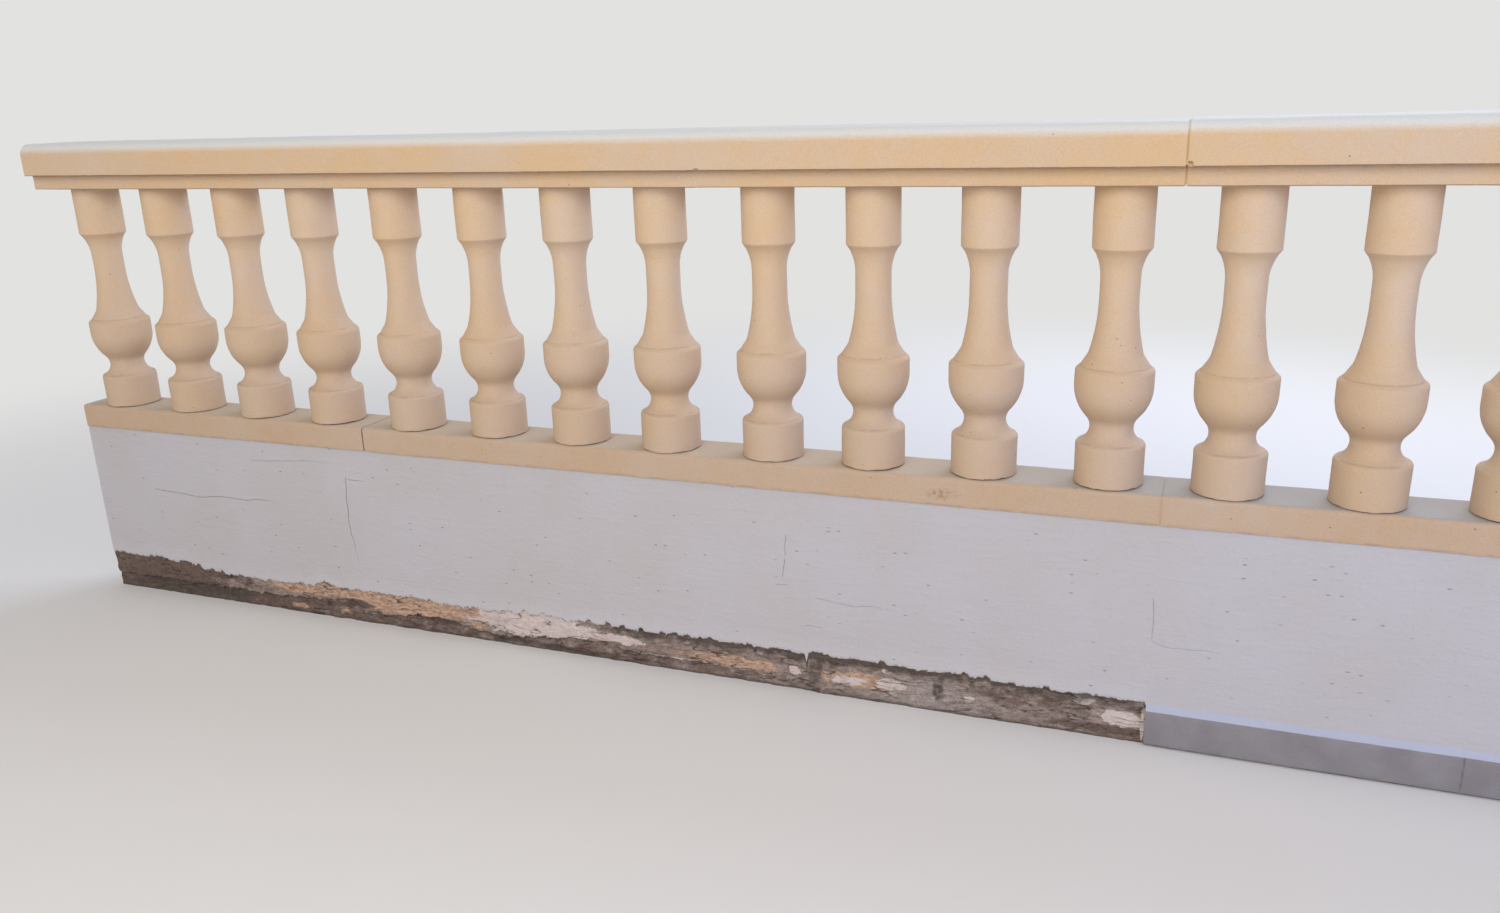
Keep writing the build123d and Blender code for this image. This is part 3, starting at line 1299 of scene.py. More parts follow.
@dataclass
class CastRails:
    """The lengths of one rail, cast in a mould, weathered and painted."""

    kind: str
    arris_depth: float = 0.9 * MM
    arris_grain: float = 22 * MM
    wave_depth: float = 0.8 * MM
    wave_grain: float = 130 * MM
    dent_depth: float = 0.3 * MM
    dent_grain: float = 28 * MM
    proudest: float = 0.4 * MM
    break_depth: float = 1.5 * MM
    break_grain: float = 5 * MM
    cut_spacing: float = 10 * MM
    section_spacing: float = 14 * MM
    chips: tuple[Chip, ...] = ()
    settled: str = ""
    settlement: float = 2.5 * MM

    def cast(self, node: str) -> Piece:
        """Model one length with enough edges to take its waves, and wear it.

        Args:
            node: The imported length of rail.

        Returns:
            The worn piece.
        """
        low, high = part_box(node)
        piece = copy_of_node(node, f"painted_{node}")
        for axis in range(3):
            spacing = self.cut_spacing if axis == 0 else self.section_spacing
            cut_across(piece, axis, steps_between(low[axis], high[axis], spacing))

        def moved(place: Vector, normal: Vector) -> Vector:
            """Move one vertex along its normal, more where two faces meet. See reshape."""
            corner = 1 - max(abs(normal.y), abs(normal.z))
            push = lump(place, self.wave_grain, self.wave_depth)
            push += lump(place, self.dent_grain, self.dent_depth)
            push += corner * (lump(place, self.arris_grain, self.arris_depth) - 0.6 * self.arris_depth)
            if node == self.settled:
                share = (place.z - low.z) / (high.z - low.z)
                place.z -= self.settlement * share * ((place.x - low.x) / (high.x - low.x)) ** 2
            return place + Vector((0, normal.y, normal.z)) * min(push, self.proudest)

        reshape(piece, moved)
        return piece

    def chipped(self, piece: Piece, chip: Chip) -> None:
        """Knock one chip out of a rail.

        Args:
            piece: The rail.
            chip: The chip.
        """
        bpy.ops.object.select_all(action="DESELECT")
        bpy.ops.mesh.primitive_ico_sphere_add(
            subdivisions=3, radius=1, location=chip.place, scale=chip.reach
        )
        cutter = newest("chip")

        def moved(place: Vector, normal: Vector) -> Vector:
            """Roughen the break. See reshape."""
            return place + normal * lump(place, self.break_grain, self.break_depth)

        reshape(cutter, moved)
        carve(piece, cutter)

    def build(self, material: Material) -> None:
        """Model and dress every length of this rail.

        Args:
            material: The paint.
        """
        for bay in range(1, BAYS + 1):
            node = f"{self.kind}_{bay}"
            piece = self.cast(node)
            for chip in self.chips:
                if chip.node == node:
                    self.chipped(piece, chip)
            smooth(piece)
            hand_over(piece, Slot.CAST_STONE, material, node)


@dataclass
class RailJoints:
    """The mortar in the joints of one rail, from left to right."""

    node: str
    fills: tuple[Fill, ...]
    packed_recess: float = 2.0 * MM
    grain: float = 14 * MM
    roughness: float = 0.5 * MM
    cut_spacing: float = 9 * MM
    joint_reach: float = 100 * MM

    def build(self, painted: Material, bare: Material) -> None:
        """Model each joint's mortar at its own depth.

        Args:
            painted: The finish of a joint that was filled flush and painted over.
            bare: The finish of mortar that shows in an open joint.
        """
        whole = copy_of_node(self.node, self.node)
        for number, fill in enumerate(self.fills, start=1):
            piece = whole.copy()
            piece.data = whole.data.copy()
            bpy.context.scene.collection.objects.link(piece)
            piece.name = f"{self.node}_mortar_{number}"
            self.press_in(piece, self.keep_joint(piece, number), fill.value - self.packed_recess)
            smooth(piece)
            finish = bare if fill is Fill.OPEN else painted
            hand_over(piece, Slot.JOINT_MORTAR, finish, self.node)
        bpy.data.objects.remove(whole)

    def press_in(self, piece: Piece, middle: float, back: float) -> None:
        """Draw a joint's mortar back from the faces, or bring it flush, and roughen it.

        Args:
            piece: The mortar of one joint.
            middle: The joint's middle, along X.
            back: How far to draw it back, or forward if this is below nothing.
        """
        low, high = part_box(self.node)
        centre = Vector((middle, 0, (low.z + high.z) / 2))
        reach = high - low

        def moved(place: Vector, normal: Vector) -> Vector:
            """Move one vertex towards the joint's middle or away from it. See reshape."""
            away = place - centre
            away.y *= 1 - 2 * back / reach.y
            away.z *= 1 - 2 * back / reach.z
            rough = Vector((0, normal.y, normal.z)) * lump(place, self.grain, self.roughness)
            return centre + away + rough

        cut_across(piece, 2, steps_between(low.z, high.z, self.cut_spacing))
        reshape(piece, moved)

    def keep_joint(self, piece: Piece, number: int) -> float:
        """Delete all but one joint from a copy of the three.

        Args:
            piece: The copy.
            number: Which joint to keep, from one up.

        Returns:
            The middle of the joint, along X.
        """
        low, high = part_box(self.node)
        share = (number - 1) / (len(self.fills) - 1)
        middle = low.x + (high.x - low.x) * share
        edit_part(piece, "VERT", lambda vertex: abs(vertex.co.x - middle) > self.joint_reach)
        bpy.ops.mesh.delete(type="VERT")
        bpy.ops.object.mode_set(mode="OBJECT")
        places = [vertex.co.x for vertex in piece.data.vertices]
        return (min(places) + max(places)) / 2


@dataclass(frozen=True)
class Crack:
    """A crack in the render: the places and heights it passes, its width and its depth."""

    course: tuple[Point, ...]
    width: float
    depth: float = 6 * MM
    stride: float = 9 * MM
    wander: float = 2.2 * MM
    tip: float = 0.4 * MM
    taper_share: float = 0.3
    taper: float = 0.8

    def cutter(self, face: float) -> Piece:
        """Model the crack's space, from end to end, across the render's face.

        Args:
            face: The depth in the wall, along Y, of the face that cracked.

        Returns:
            A thin crooked bar to cut the render with.
        """
        (start_x, start_z), (end_x, end_z) = self.course[0], self.course[-1]
        upright = abs(end_z - start_z) > abs(end_x - start_x)
        line = self.stations()
        (first_x, first_z), (next_x, next_z) = line[0], line[1]
        bpy.ops.object.select_all(action="DESELECT")
        wide, long = (self.width, self.tip) if upright else (self.tip, self.width)
        size = (wide, 2 * self.depth, long)
        bpy.ops.mesh.primitive_cube_add(size=1, location=(first_x, face, first_z), scale=size)
        piece = newest("crack")
        ahead = Vector((0, 0, math.copysign(1, next_z - first_z)))
        if not upright:
            ahead = Vector((math.copysign(1, next_x - first_x), 0, 0))
        edit_part(piece, "FACE", lambda polygon: polygon.normal.dot(ahead) > 0.9)
        for number, ((x, z), (to_x, to_z)) in enumerate(pairwise(line)):
            bpy.ops.mesh.extrude_region_move(TRANSFORM_OT_translate={"value": (to_x - x, 0, to_z - z)})
            if 1 - (number + 1) / len(line) < self.taper_share:
                thinner = (self.taper, 1, 1) if upright else (1, 1, self.taper)
                bpy.ops.transform.resize(value=thinner, center_override=(to_x, face, to_z))
        bpy.ops.object.mode_set(mode="OBJECT")
        return piece

    def stations(self) -> list[Point]:
        """Work out the crooked line of the crack, stride by stride.

        Returns:
            The places and heights that it passes.
        """
        line = [self.course[0]]
        for (x, z), (to_x, to_z) in pairwise(self.course):
            length = math.hypot(to_x - x, to_z - z)
            count = max(1, round(length / self.stride))
            for part in range(1, count + 1):
                at = Vector((x + (to_x - x) * part / count, 0, z + (to_z - z) * part / count))
                aside = lump(at, 21 * MM, self.wander) + lump(at, 60 * MM, 2 * self.wander, 5)
                side = ((to_z - z) / length, -(to_x - x) / length)
                line.append((at.x + side[0] * aside, at.z + side[1] * aside))
        return line


@dataclass
class Sheet:
    """A coat on the wall, modelled as a grid on its face that is then given its thickness."""

    name: str
    columns: int
    rows: int
    left: float
    right: float
    front: float
    back: float

    def face_place(self, across: float, up: float) -> Vector:
        """Return where a point of the face lies, from its shares of the width and height."""
        raise NotImplementedError

    def model(self) -> Piece:
        """Model the coat: its face, then its edges back to the wall, then its hidden side.

        Returns:
            The closed piece, not yet dressed.
        """
        bpy.ops.object.select_all(action="DESELECT")
        quarter = math.pi / 2 if self.front < self.back else -math.pi / 2
        bpy.ops.mesh.primitive_grid_add(
            x_subdivisions=self.columns, y_subdivisions=self.rows, size=1, rotation=(quarter, 0, 0)
        )
        piece = newest(self.name)
        reshape(piece, lambda place, normal: self.face_place(place.x + 0.5, place.z + 0.5))
        work_on(piece)
        bpy.ops.object.mode_set(mode="EDIT")
        bpy.ops.mesh.select_mode(type="EDGE")
        bpy.ops.mesh.select_all(action="DESELECT")
        bpy.ops.mesh.select_non_manifold(
            extend=False,
            use_wire=False,
            use_boundary=True,
            use_multi_face=False,
            use_non_contiguous=False,
            use_verts=False,
        )
        bpy.ops.mesh.extrude_region_move(
            TRANSFORM_OT_translate={"value": (0, self.back - self.front, 0)}
        )
        bpy.ops.transform.resize(value=(1, 0, 1), center_override=(0, self.back, 0))
        bpy.ops.mesh.edge_face_add()
        bpy.ops.mesh.select_all(action="SELECT")
        bpy.ops.mesh.normals_make_consistent(inside=False)
        bpy.ops.object.mode_set(mode="OBJECT")
        return piece


@dataclass
class RenderCoat(Sheet):
    """Render on one long face of the wall, with trowel waves and a lower edge of its own."""

    EDGE = "near_the_edge"

    top: float
    lower_edge: tuple[Point, ...]
    ragged_end: float
    drips: tuple[Point, ...] = ()
    drip_width: float = 4.5 * MM
    wave_depth: float = 1.3 * MM
    wave_grain: float = 300 * MM
    ripple_grain: float = 90 * MM
    flat_border: float = 15 * MM
    edge_depth: float = 4.5 * MM
    edge_grain: float = 70 * MM
    flake: float = 4.4 * MM
    flake_widths: tuple[float, ...] = (47 * MM, 19 * MM)
    feather: float = 6 * MM
    feather_depth: float = 2.2 * MM
    feather_wander: float = 1.6 * MM
    notch_spacing: float = 48 * MM
    notch_depth: float = 9 * MM
    notch_width: float = 9 * MM
    notch_steepness: float = 3.0
    # How far up from the broken edge the mark reaches, for the finish's painted light and flaking
    rim_reach: float = 50 * MM
    fine_rows: float = 1.5

    def lower(self, x: float) -> float:
        """Work out the height of the ragged lower edge.

        Args:
            x: The place along the wall.

        Returns:
            The height, with its breaks, notches and drips.
        """
        height = along_course(self.lower_edge, x)
        if x >= self.ragged_end:
            return height
        at = Vector((x, 0, 0))
        crumbly = min(1.0, max(0.2, 0.6 + lump(at, 170 * MM, 1.0, 5)))
        height += lump(at, self.edge_grain, self.edge_depth, 2)
        height += crumbly * lump(at, 20 * MM, 0.5 * self.edge_depth, 3)
        height += crumbly * abs(lump(at, 8 * MM, 0.25 * self.edge_depth, 4))
        for width in self.flake_widths:
            height += crumbly * self.flake * noise.cell(Vector((x / width, 0, 0)))
        height += self.notch(x)
        for place, length in self.drips:
            height -= length * max(0, 1 - abs(x - place) / self.drip_width)
        return height

    def notch(self, x: float) -> float:
        """Work out how far the nearest sharp notch bites up into the edge.

        Args:
            x: The place along the wall.

        Returns:
            The height of the bite, which is flat on top.
        """
        number = math.floor(x / self.notch_spacing)
        key = Vector((number + 0.5, 3.5, 0.5))
        middle = (number + 0.5 + 0.35 * noise.cell(key)) * self.notch_spacing
        depth = self.notch_depth * noise.cell(key + Vector((0, 4, 0))) ** 2
        within = max(0, 1 - abs(x - middle) / self.notch_width)
        return depth * min(1, self.notch_steepness * within)

    def mark(self, piece: Piece) -> None:
        """Mark on the mesh how near each place is to the broken edge.

        Args:
            piece: The coat.
        """
        layer = piece.data.color_attributes.new(self.EDGE, "FLOAT_COLOR", "POINT")
        for vertex in piece.data.vertices:
            near = 0.0
            if vertex.co.x < self.ragged_end:
                near = max(0.0, 1 - (vertex.co.z - self.lower(vertex.co.x)) / self.rim_reach)
            layer.data[vertex.index].color = (near, near, near, 1.0)

    def face_place(self, across: float, up: float) -> Vector:
        """Return a point of the face, waved by the trowel. See the base class."""
        x = self.left + (self.right - self.left) * across
        low = self.lower(x)
        z = low + (self.top - low) * up**self.fine_rows
        at = Vector((x, self.front, z))
        edge = min(x - self.left, self.right - x, self.top - z)
        ease = min(1, max(0, edge / self.flat_border))
        stretched = Vector((x, 0, 2.5 * z))
        wave = lump(stretched, self.wave_grain, self.wave_depth)
        wave += lump(stretched, self.ripple_grain, self.wave_depth / 3)
        inward = math.copysign(1, self.back - self.front)
        y = self.front + inward * (self.wave_depth / 2 - wave) * ease
        if x < self.ragged_end:
            worn = max(0, 1 - (z - low) / self.feather)
            y += inward * worn * (self.feather_depth + lump(at, 12 * MM, self.feather_wander, 8))
        return Vector((x, y, z))


@dataclass(frozen=True)
class Mark:
    """A patch of old paint or dirt on the mortar: its kind, its middle and its reach."""

    coat: Coat
    x: float
    height: float
    reach: float
    rise: float
    most: float = 1.5


@dataclass
class MortarBed(Sheet):
    """The mortar that the lost skirting left, in two layers whose upper one overhangs."""

    MARKS = "coats"
    SEAM = "seam"

    upper_edge: Callable[[float], float]
    layer_line: tuple[Point, ...]
    lower_brown: tuple[Point, ...]
    # How strong the painted shadow under the render's edge is, along the wall
    shadow_under_render: tuple[Point, ...]
    marks: tuple[Mark, ...]
    lower_rows: int = 15
    lower_depth: float = 5.0 * MM
    undercut: float = 0.8 * MM
    thinnest: float = 3 * MM
    run_out: float = 10 * MM
    roughness: float = 2.2 * MM
    peel_size: float = 60 * MM
    peel_depth: float = 1.4 * MM
    flake_length: float = 34 * MM
    flake_height: float = 13 * MM
    least_cover: float = 0.6 * MM
    tuck: float = 4 * MM
    crevice: float = 3.5 * MM
    flecked: tuple[float, float] = (-0.30, 0.32)
    # How far below the render's edge its painted shadow reaches
    render_shadow_reach: float = 20 * MM

    def line_height(self, x: float) -> float:
        """Work out the height of the broken line between the two layers.

        Args:
            x: The place along the wall.

        Returns:
            The height, or less than nothing where there is one layer.
        """
        line = along_course(self.layer_line, x)
        at = Vector((x, 0, 0))
        if line > 0:
            line += lump(at, 40 * MM, 5 * MM, 11) + lump(at, 12 * MM, 3 * MM, 12)
            line += 3 * MM * (noise.cell(Vector((x / (17 * MM), 0, 3))) - 0.5)
        return line

    def face_place(self, across: float, up: float) -> Vector:
        """Return a point of the broken mortar face. See the base class."""
        x = self.left + (self.right - self.left) * across
        row = round(up * self.rows)
        line = self.line_height(x)
        seam = max(line, self.thinnest)
        top = self.upper_edge(x) + self.tuck
        y = self.front
        if row <= self.lower_rows:
            z = (seam + self.undercut) * row / self.lower_rows
            y += self.lower_depth * min(1, max(0, line / self.run_out))
        else:
            upper_row = row - self.lower_rows - 1
            z = seam + (top - seam) * upper_row / (self.rows - self.lower_rows - 1)
        at = Vector((x, 0, z))
        y += self.peel_depth * min(1, max(0, lump(Vector((x, 0, 2.2 * z)), self.peel_size, 6, 17)))
        rough = self.roughness * (1 if x < self.smooth_from else 0.5)
        y += lump(at, 55 * MM, rough, 13) + lump(at, 16 * MM, rough / 2, 14)
        y += lump(at, 6 * MM, self.roughness / 4, 15)
        y += lump(Vector((x, 0, 4 * z)), 48 * MM, rough * 0.8, 16)
        flaking = Vector((x / self.flake_length, 0, z / self.flake_height + 9))
        y += rough * 0.4 * noise.cell(flaking)
        return Vector((x, min(y, self.back - self.least_cover), z))

    @property
    def smooth_from(self) -> float:
        """Return the place where the upper layer runs out."""
        return self.layer_line[-1][0]

    def coats_at(self, x: float, z: float) -> list[float]:
        """Work out how much of each coat clings at a place, and the painted shade, from nothing to one.

        Args:
            x: The place along the wall.
            z: Its height.

        Returns:
            The amount of each coat, in the order of the mesh's channels.
        """
        at = Vector((x, 0, 1.8 * z))
        ragged = lump(at, 45 * MM, 0.35, 41) + lump(at, 15 * MM, 0.3, 42) + lump(at, 6 * MM, 0.2, 43)
        amounts = [0.0] * len(Coat)
        for mark in self.marks:
            off = math.hypot((x - mark.x) / mark.reach, (z - mark.height) / mark.rise)
            amounts[mark.coat.value] = max(amounts[mark.coat.value], min(mark.most, 1.5 - off))
        line = self.line_height(x)
        if z < line:
            for coat in (Coat.OCHRE, Coat.CREAM):
                amounts[coat.value] -= 0.75
            amounts[Coat.BROWN.value] += along_course(self.lower_brown, x)
            # Painted shade just under the upper layer's edge
            near = 1 - (line - z) / self.crevice
            amounts[Coat.SOOT.value] = max(amounts[Coat.SOOT.value], 0.1 + 1.1 * near)
        if self.flecked[0] < x < self.flecked[1]:
            fleck = 1.0 - abs(z - line) / self.crevice + lump(at, 8 * MM, 0.8, 44)
            amounts[Coat.CREAM.value] = max(amounts[Coat.CREAM.value], fleck)
        # Painted shadow under the render's edge
        shadow_near_render = 1 - (self.upper_edge(x) - z) / self.render_shadow_reach
        strength = along_course(self.shadow_under_render, x)
        amounts[Coat.SOOT.value] = max(amounts[Coat.SOOT.value], 0.9 * strength * (0.6 + shadow_near_render))
        return [min(1.0, max(0.0, amount + ragged)) for amount in amounts]

    def mark(self, piece: Piece) -> None:
        """Mark on the mesh where each coat clings and the painted shade lies, and how near the seam is.

        Args:
            piece: The bed.
        """
        layer = piece.data.color_attributes.new(self.MARKS, "FLOAT_COLOR", "POINT")
        seam = piece.data.color_attributes.new(self.SEAM, "FLOAT_COLOR", "POINT")
        for vertex in piece.data.vertices:
            layer.data[vertex.index].color = self.coats_at(vertex.co.x, vertex.co.z)
            line = self.line_height(vertex.co.x)
            away = abs(vertex.co.z - line)
            near = max(0.0, 1 - away / self.crevice) if line > self.crevice else 0.0
            seam.data[vertex.index].color = (near, near, near, 1.0)

    def build(self, material: Material, node: str) -> None:
        """Model, mark and dress the bed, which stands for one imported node.

        Args:
            material: The finish.
            node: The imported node.
        """
        piece = self.model()
        self.mark(piece)
        smooth(piece, 40)
        hand_over(piece, Slot.BED_MORTAR, material, node)


@dataclass
class Skirting:
    """The strip of stoneware skirting that is left, and the painted mortar lip over it."""

    arris: float = 0.6 * MM
    nick_depth: float = 1.6 * MM
    warp: float = 0.5 * MM
    cut_spacing: float = 12 * MM
    grout_recess: float = 0.9 * MM
    lip_rise: float = 4 * MM
    lip_sink: float = 1.0 * MM
    lip_cut_spacing: float = 3 * MM

    def tile(self, node: str, material: Material) -> None:
        """Model one tile with softened edges and a nibbled lower edge.

        Args:
            node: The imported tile.
            material: The finish.
        """
        low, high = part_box(node)
        bpy.ops.object.select_all(action="DESELECT")
        bpy.ops.mesh.primitive_cube_add(size=1, location=(low + high) / 2, scale=high - low)
        piece = newest(f"laid_{node}")
        apply_modifier(piece, "BEVEL", width=self.arris, segments=2, limit_method="ANGLE")
        cut_across(piece, 0, steps_between(low.x, high.x, self.cut_spacing / 2))
        cut_across(piece, 2, steps_between(low.z, high.z, self.cut_spacing))

        def moved(place: Vector, normal: Vector) -> Vector:
            """Nibble the lower edge and leave the face a little uneven. See reshape."""
            if place.z < low.z + 2 * self.arris:
                place.z += abs(lump(place, 30 * MM, self.nick_depth, 21))
                place.z += abs(lump(place, 7 * MM, self.nick_depth / 2, 22))
            return place - normal * abs(lump(place, 90 * MM, self.warp))

        reshape(piece, moved)
        smooth(piece)
        hand_over(piece, Slot.STONEWARE, material, node)

    def grout(self, before: str, after: str, material: Material) -> None:
        """Fill the joint between two tiles to just behind their faces.

        Args:
            before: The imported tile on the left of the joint.
            after: The one on its right.
            material: The finish.
        """
        low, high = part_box(before)
        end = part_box(after)[0].x
        size = Vector((end - high.x, high.y - low.y - self.grout_recess, high.z - low.z))
        middle = Vector(((high.x + end) / 2, (low.y + self.grout_recess + high.y) / 2, (low.z + high.z) / 2))
        bpy.ops.object.select_all(action="DESELECT")
        bpy.ops.mesh.primitive_cube_add(size=1, location=middle, scale=size)
        hand_over(newest("skirting_tile_grout"), Slot.JOINT_MORTAR, material)

    def lip(self, node: str, material: Material) -> None:
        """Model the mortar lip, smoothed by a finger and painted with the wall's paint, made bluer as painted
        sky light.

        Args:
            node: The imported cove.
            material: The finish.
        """
        low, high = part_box(node)
        piece = copy_of_node(node, f"painted_{node}")
        cut_across(piece, 0, steps_between(low.x, high.x, self.cut_spacing))
        cut_across(piece, 2, steps_between(low.z, high.z, self.lip_cut_spacing))

        def moved(place: Vector, normal: Vector) -> Vector:
            """Spread the lip up the wall and make its front edge wander. See reshape."""
            share = (place.z - low.z) / (high.z - low.z)
            front = 1 - (place.y - low.y) / (high.y - low.y)
            place.z += share * (self.lip_rise + lump(place, 45 * MM, 1.5 * MM, 31))
            place.y += (0.3 + front) * abs(lump(place, 35 * MM, 1.2 * MM, 32)) + self.lip_sink * share
            return place

        reshape(piece, moved)
        smooth(piece, 60)
        hand_over(piece, Slot.WHITE_RENDER, material, node)


# The picture


@dataclass(frozen=True)
class Viewpoint:
    """Where the photograph was taken from. Angles in degrees, picture sizes in its pixels."""

    place: Triple = (1.0856, -2.528, 1.3763)
    yaw: float = 22.079
    pitch: float = -17.526
    roll: float = 1.86
    focal_length: float = 1201.0
    centre: tuple[float, float] = (746.2, 474.5)
    picture: tuple[float, float] = (1500.0, 913.0)
    sensor: float = 36.0

    def build(self) -> None:
        """Make the camera and let the scene use it."""
        bpy.ops.object.select_all(action="DESELECT")
        bpy.ops.object.camera_add()
        camera = bpy.context.object
        width, height = self.picture
        camera.data.sensor_width = self.sensor
        camera.data.lens = self.focal_length * self.sensor / width
        camera.data.shift_x = (width / 2 - self.centre[0]) / width
        camera.data.shift_y = (self.centre[1] - height / 2) / width
        camera.data.clip_end = 200
        turned = (
            Matrix.Rotation(math.radians(self.yaw), 4, "Z")
            @ Matrix.Rotation(math.radians(self.pitch), 4, "X")
            @ Matrix.Rotation(math.radians(self.roll), 4, "Y")
            @ Matrix.Rotation(math.radians(90), 4, "X")
        )
        camera.matrix_world = Matrix.Translation(self.place) @ turned
        bpy.context.scene.camera = camera


@dataclass(frozen=True)
class Studio:
    """A pale floor that runs out into a pale backdrop, and broad soft light."""

    floor_colour: str = "#e8e6e3"
    backdrop_colour: str = "#e2e2e1"
    sky_colour: str = "#f6f7ff"
    ambient: float = 0.5
    floor_reach: float = 60.0
    near_floor: float = 2.2
    far_floor: float = 5.5

    def backdrop(self) -> None:
        """Light the object evenly, and show a pale backdrop to the camera and to gloss."""
        world = bpy.data.worlds.new("backdrop")
        bpy.context.scene.world = world
        world.use_nodes = True
        tree = world.node_tree
        tree.nodes.clear()
        light, shown = (
            add_node(
                tree, "ShaderNodeBackground", {"Color": linear(colour), "Strength": strength}
            ).outputs[0]
            for colour, strength in ((self.sky_colour, self.ambient), (self.backdrop_colour, 1.0))
        )
        mixed = add_node(tree, "ShaderNodeMixShader", {0: self.seen(tree), 1: light, 2: shown}).outputs[0]
        add_node(tree, "ShaderNodeOutputWorld", {"Surface": mixed})

    def seen(self, tree: Tree) -> Socket:
        """Build a value that is one on the rays that show the backdrop itself.

        Args:
            tree: The node tree of the backdrop or the floor.

        Returns:
            The socket, which is nothing on every other ray.
        """
        rays = add_node(tree, "ShaderNodeLightPath").outputs
        seen = rays["Is Camera Ray"]
        for kind in ("Is Glossy Ray", "Is Transmission Ray"):
            seen = add_node(tree, "ShaderNodeMath", {0: seen, 1: rays[kind]}, operation="MAXIMUM").outputs[0]
        return seen

    def floor(self) -> None:
        """Lay the floor, whose far part is the backdrop's colour."""
        bpy.ops.object.select_all(action="DESELECT")
        bpy.ops.mesh.primitive_circle_add(vertices=64, radius=self.floor_reach, fill_type="NGON")
        piece = newest("floor")
        material = bpy.data.materials.new("pale_studio_floor")
        material.use_nodes = True
        tree = material.node_tree
        tree.nodes.clear()
        place = add_node(tree, "ShaderNodeTexCoord").outputs["Object"]
        away = add_node(tree, "ShaderNodeVectorMath", {0: place}, operation="LENGTH").outputs["Value"]
        far = add_node(
            tree,
            "ShaderNodeMapRange",
            {"Value": away, "From Min": self.near_floor, "From Max": self.far_floor},
            interpolation_type="SMOOTHSTEP",
        ).outputs[0]
        share = add_node(
            tree, "ShaderNodeMath", {0: far, 1: self.seen(tree)}, operation="MULTIPLY"
        ).outputs[0]
        matt = add_node(tree, "ShaderNodeBsdfDiffuse", {"Color": linear(self.floor_colour)}).outputs[0]
        glow = add_node(
            tree, "ShaderNodeEmission", {"Color": linear(self.backdrop_colour), "Strength": 1.0}
        ).outputs[0]
        mixed = add_node(tree, "ShaderNodeMixShader", {0: share, 1: matt, 2: glow}).outputs[0]
        add_node(tree, "ShaderNodeOutputMaterial", {"Surface": mixed})
        piece.data.materials.append(material)

    def lamp(
        self,
        name: str,
        place: Triple,
        aim: Triple,
        size: tuple[float, float],
        power: float,
        colour: str,
    ) -> None:
        """Hang one soft rectangular lamp.

        Args:
            name: The lamp's name.
            place: Where it hangs.
            aim: The point it faces.
            size: Its width and height.
            power: Its power in watts.
            colour: Its colour as a hex value.
        """
        data = bpy.data.lights.new(name, "AREA")
        data.shape = "RECTANGLE"
        data.size, data.size_y = size
        data.energy = power
        data.color = linear(colour)[:3]
        lamp = bpy.data.objects.new(name, data)
        bpy.context.scene.collection.objects.link(lamp)
        lamp.location = place
        lamp.rotation_euler = (Vector(aim) - Vector(place)).to_track_quat("-Z", "Y").to_euler()

    def build(self) -> None:
        """Make the floor, the backdrop and the lamps."""
        self.backdrop()
        self.floor()
        self.lamp("front_softbox", (0.6, -4.6, 3.2), (0.1, 0, 0.8), (4.2, 3.5), 147, "#fff7e2")
        self.lamp("left_softbox", (-4.5, -3.5, 2.4), (-0.6, 0, 0.6), (3.0, 2.5), 10, "#fff1e2")
        self.lamp("right_softbox", (4.8, -2.4, 2.2), (1.4, 0, 0.7), (2.5, 2.0), 58, "#8fb2ff")
        self.lamp("back_softbox", (2.2, 4.8, 3.6), (0, 0, 0.7), (5.5, 3.0), 235, "#dfe9ff")


# The whole


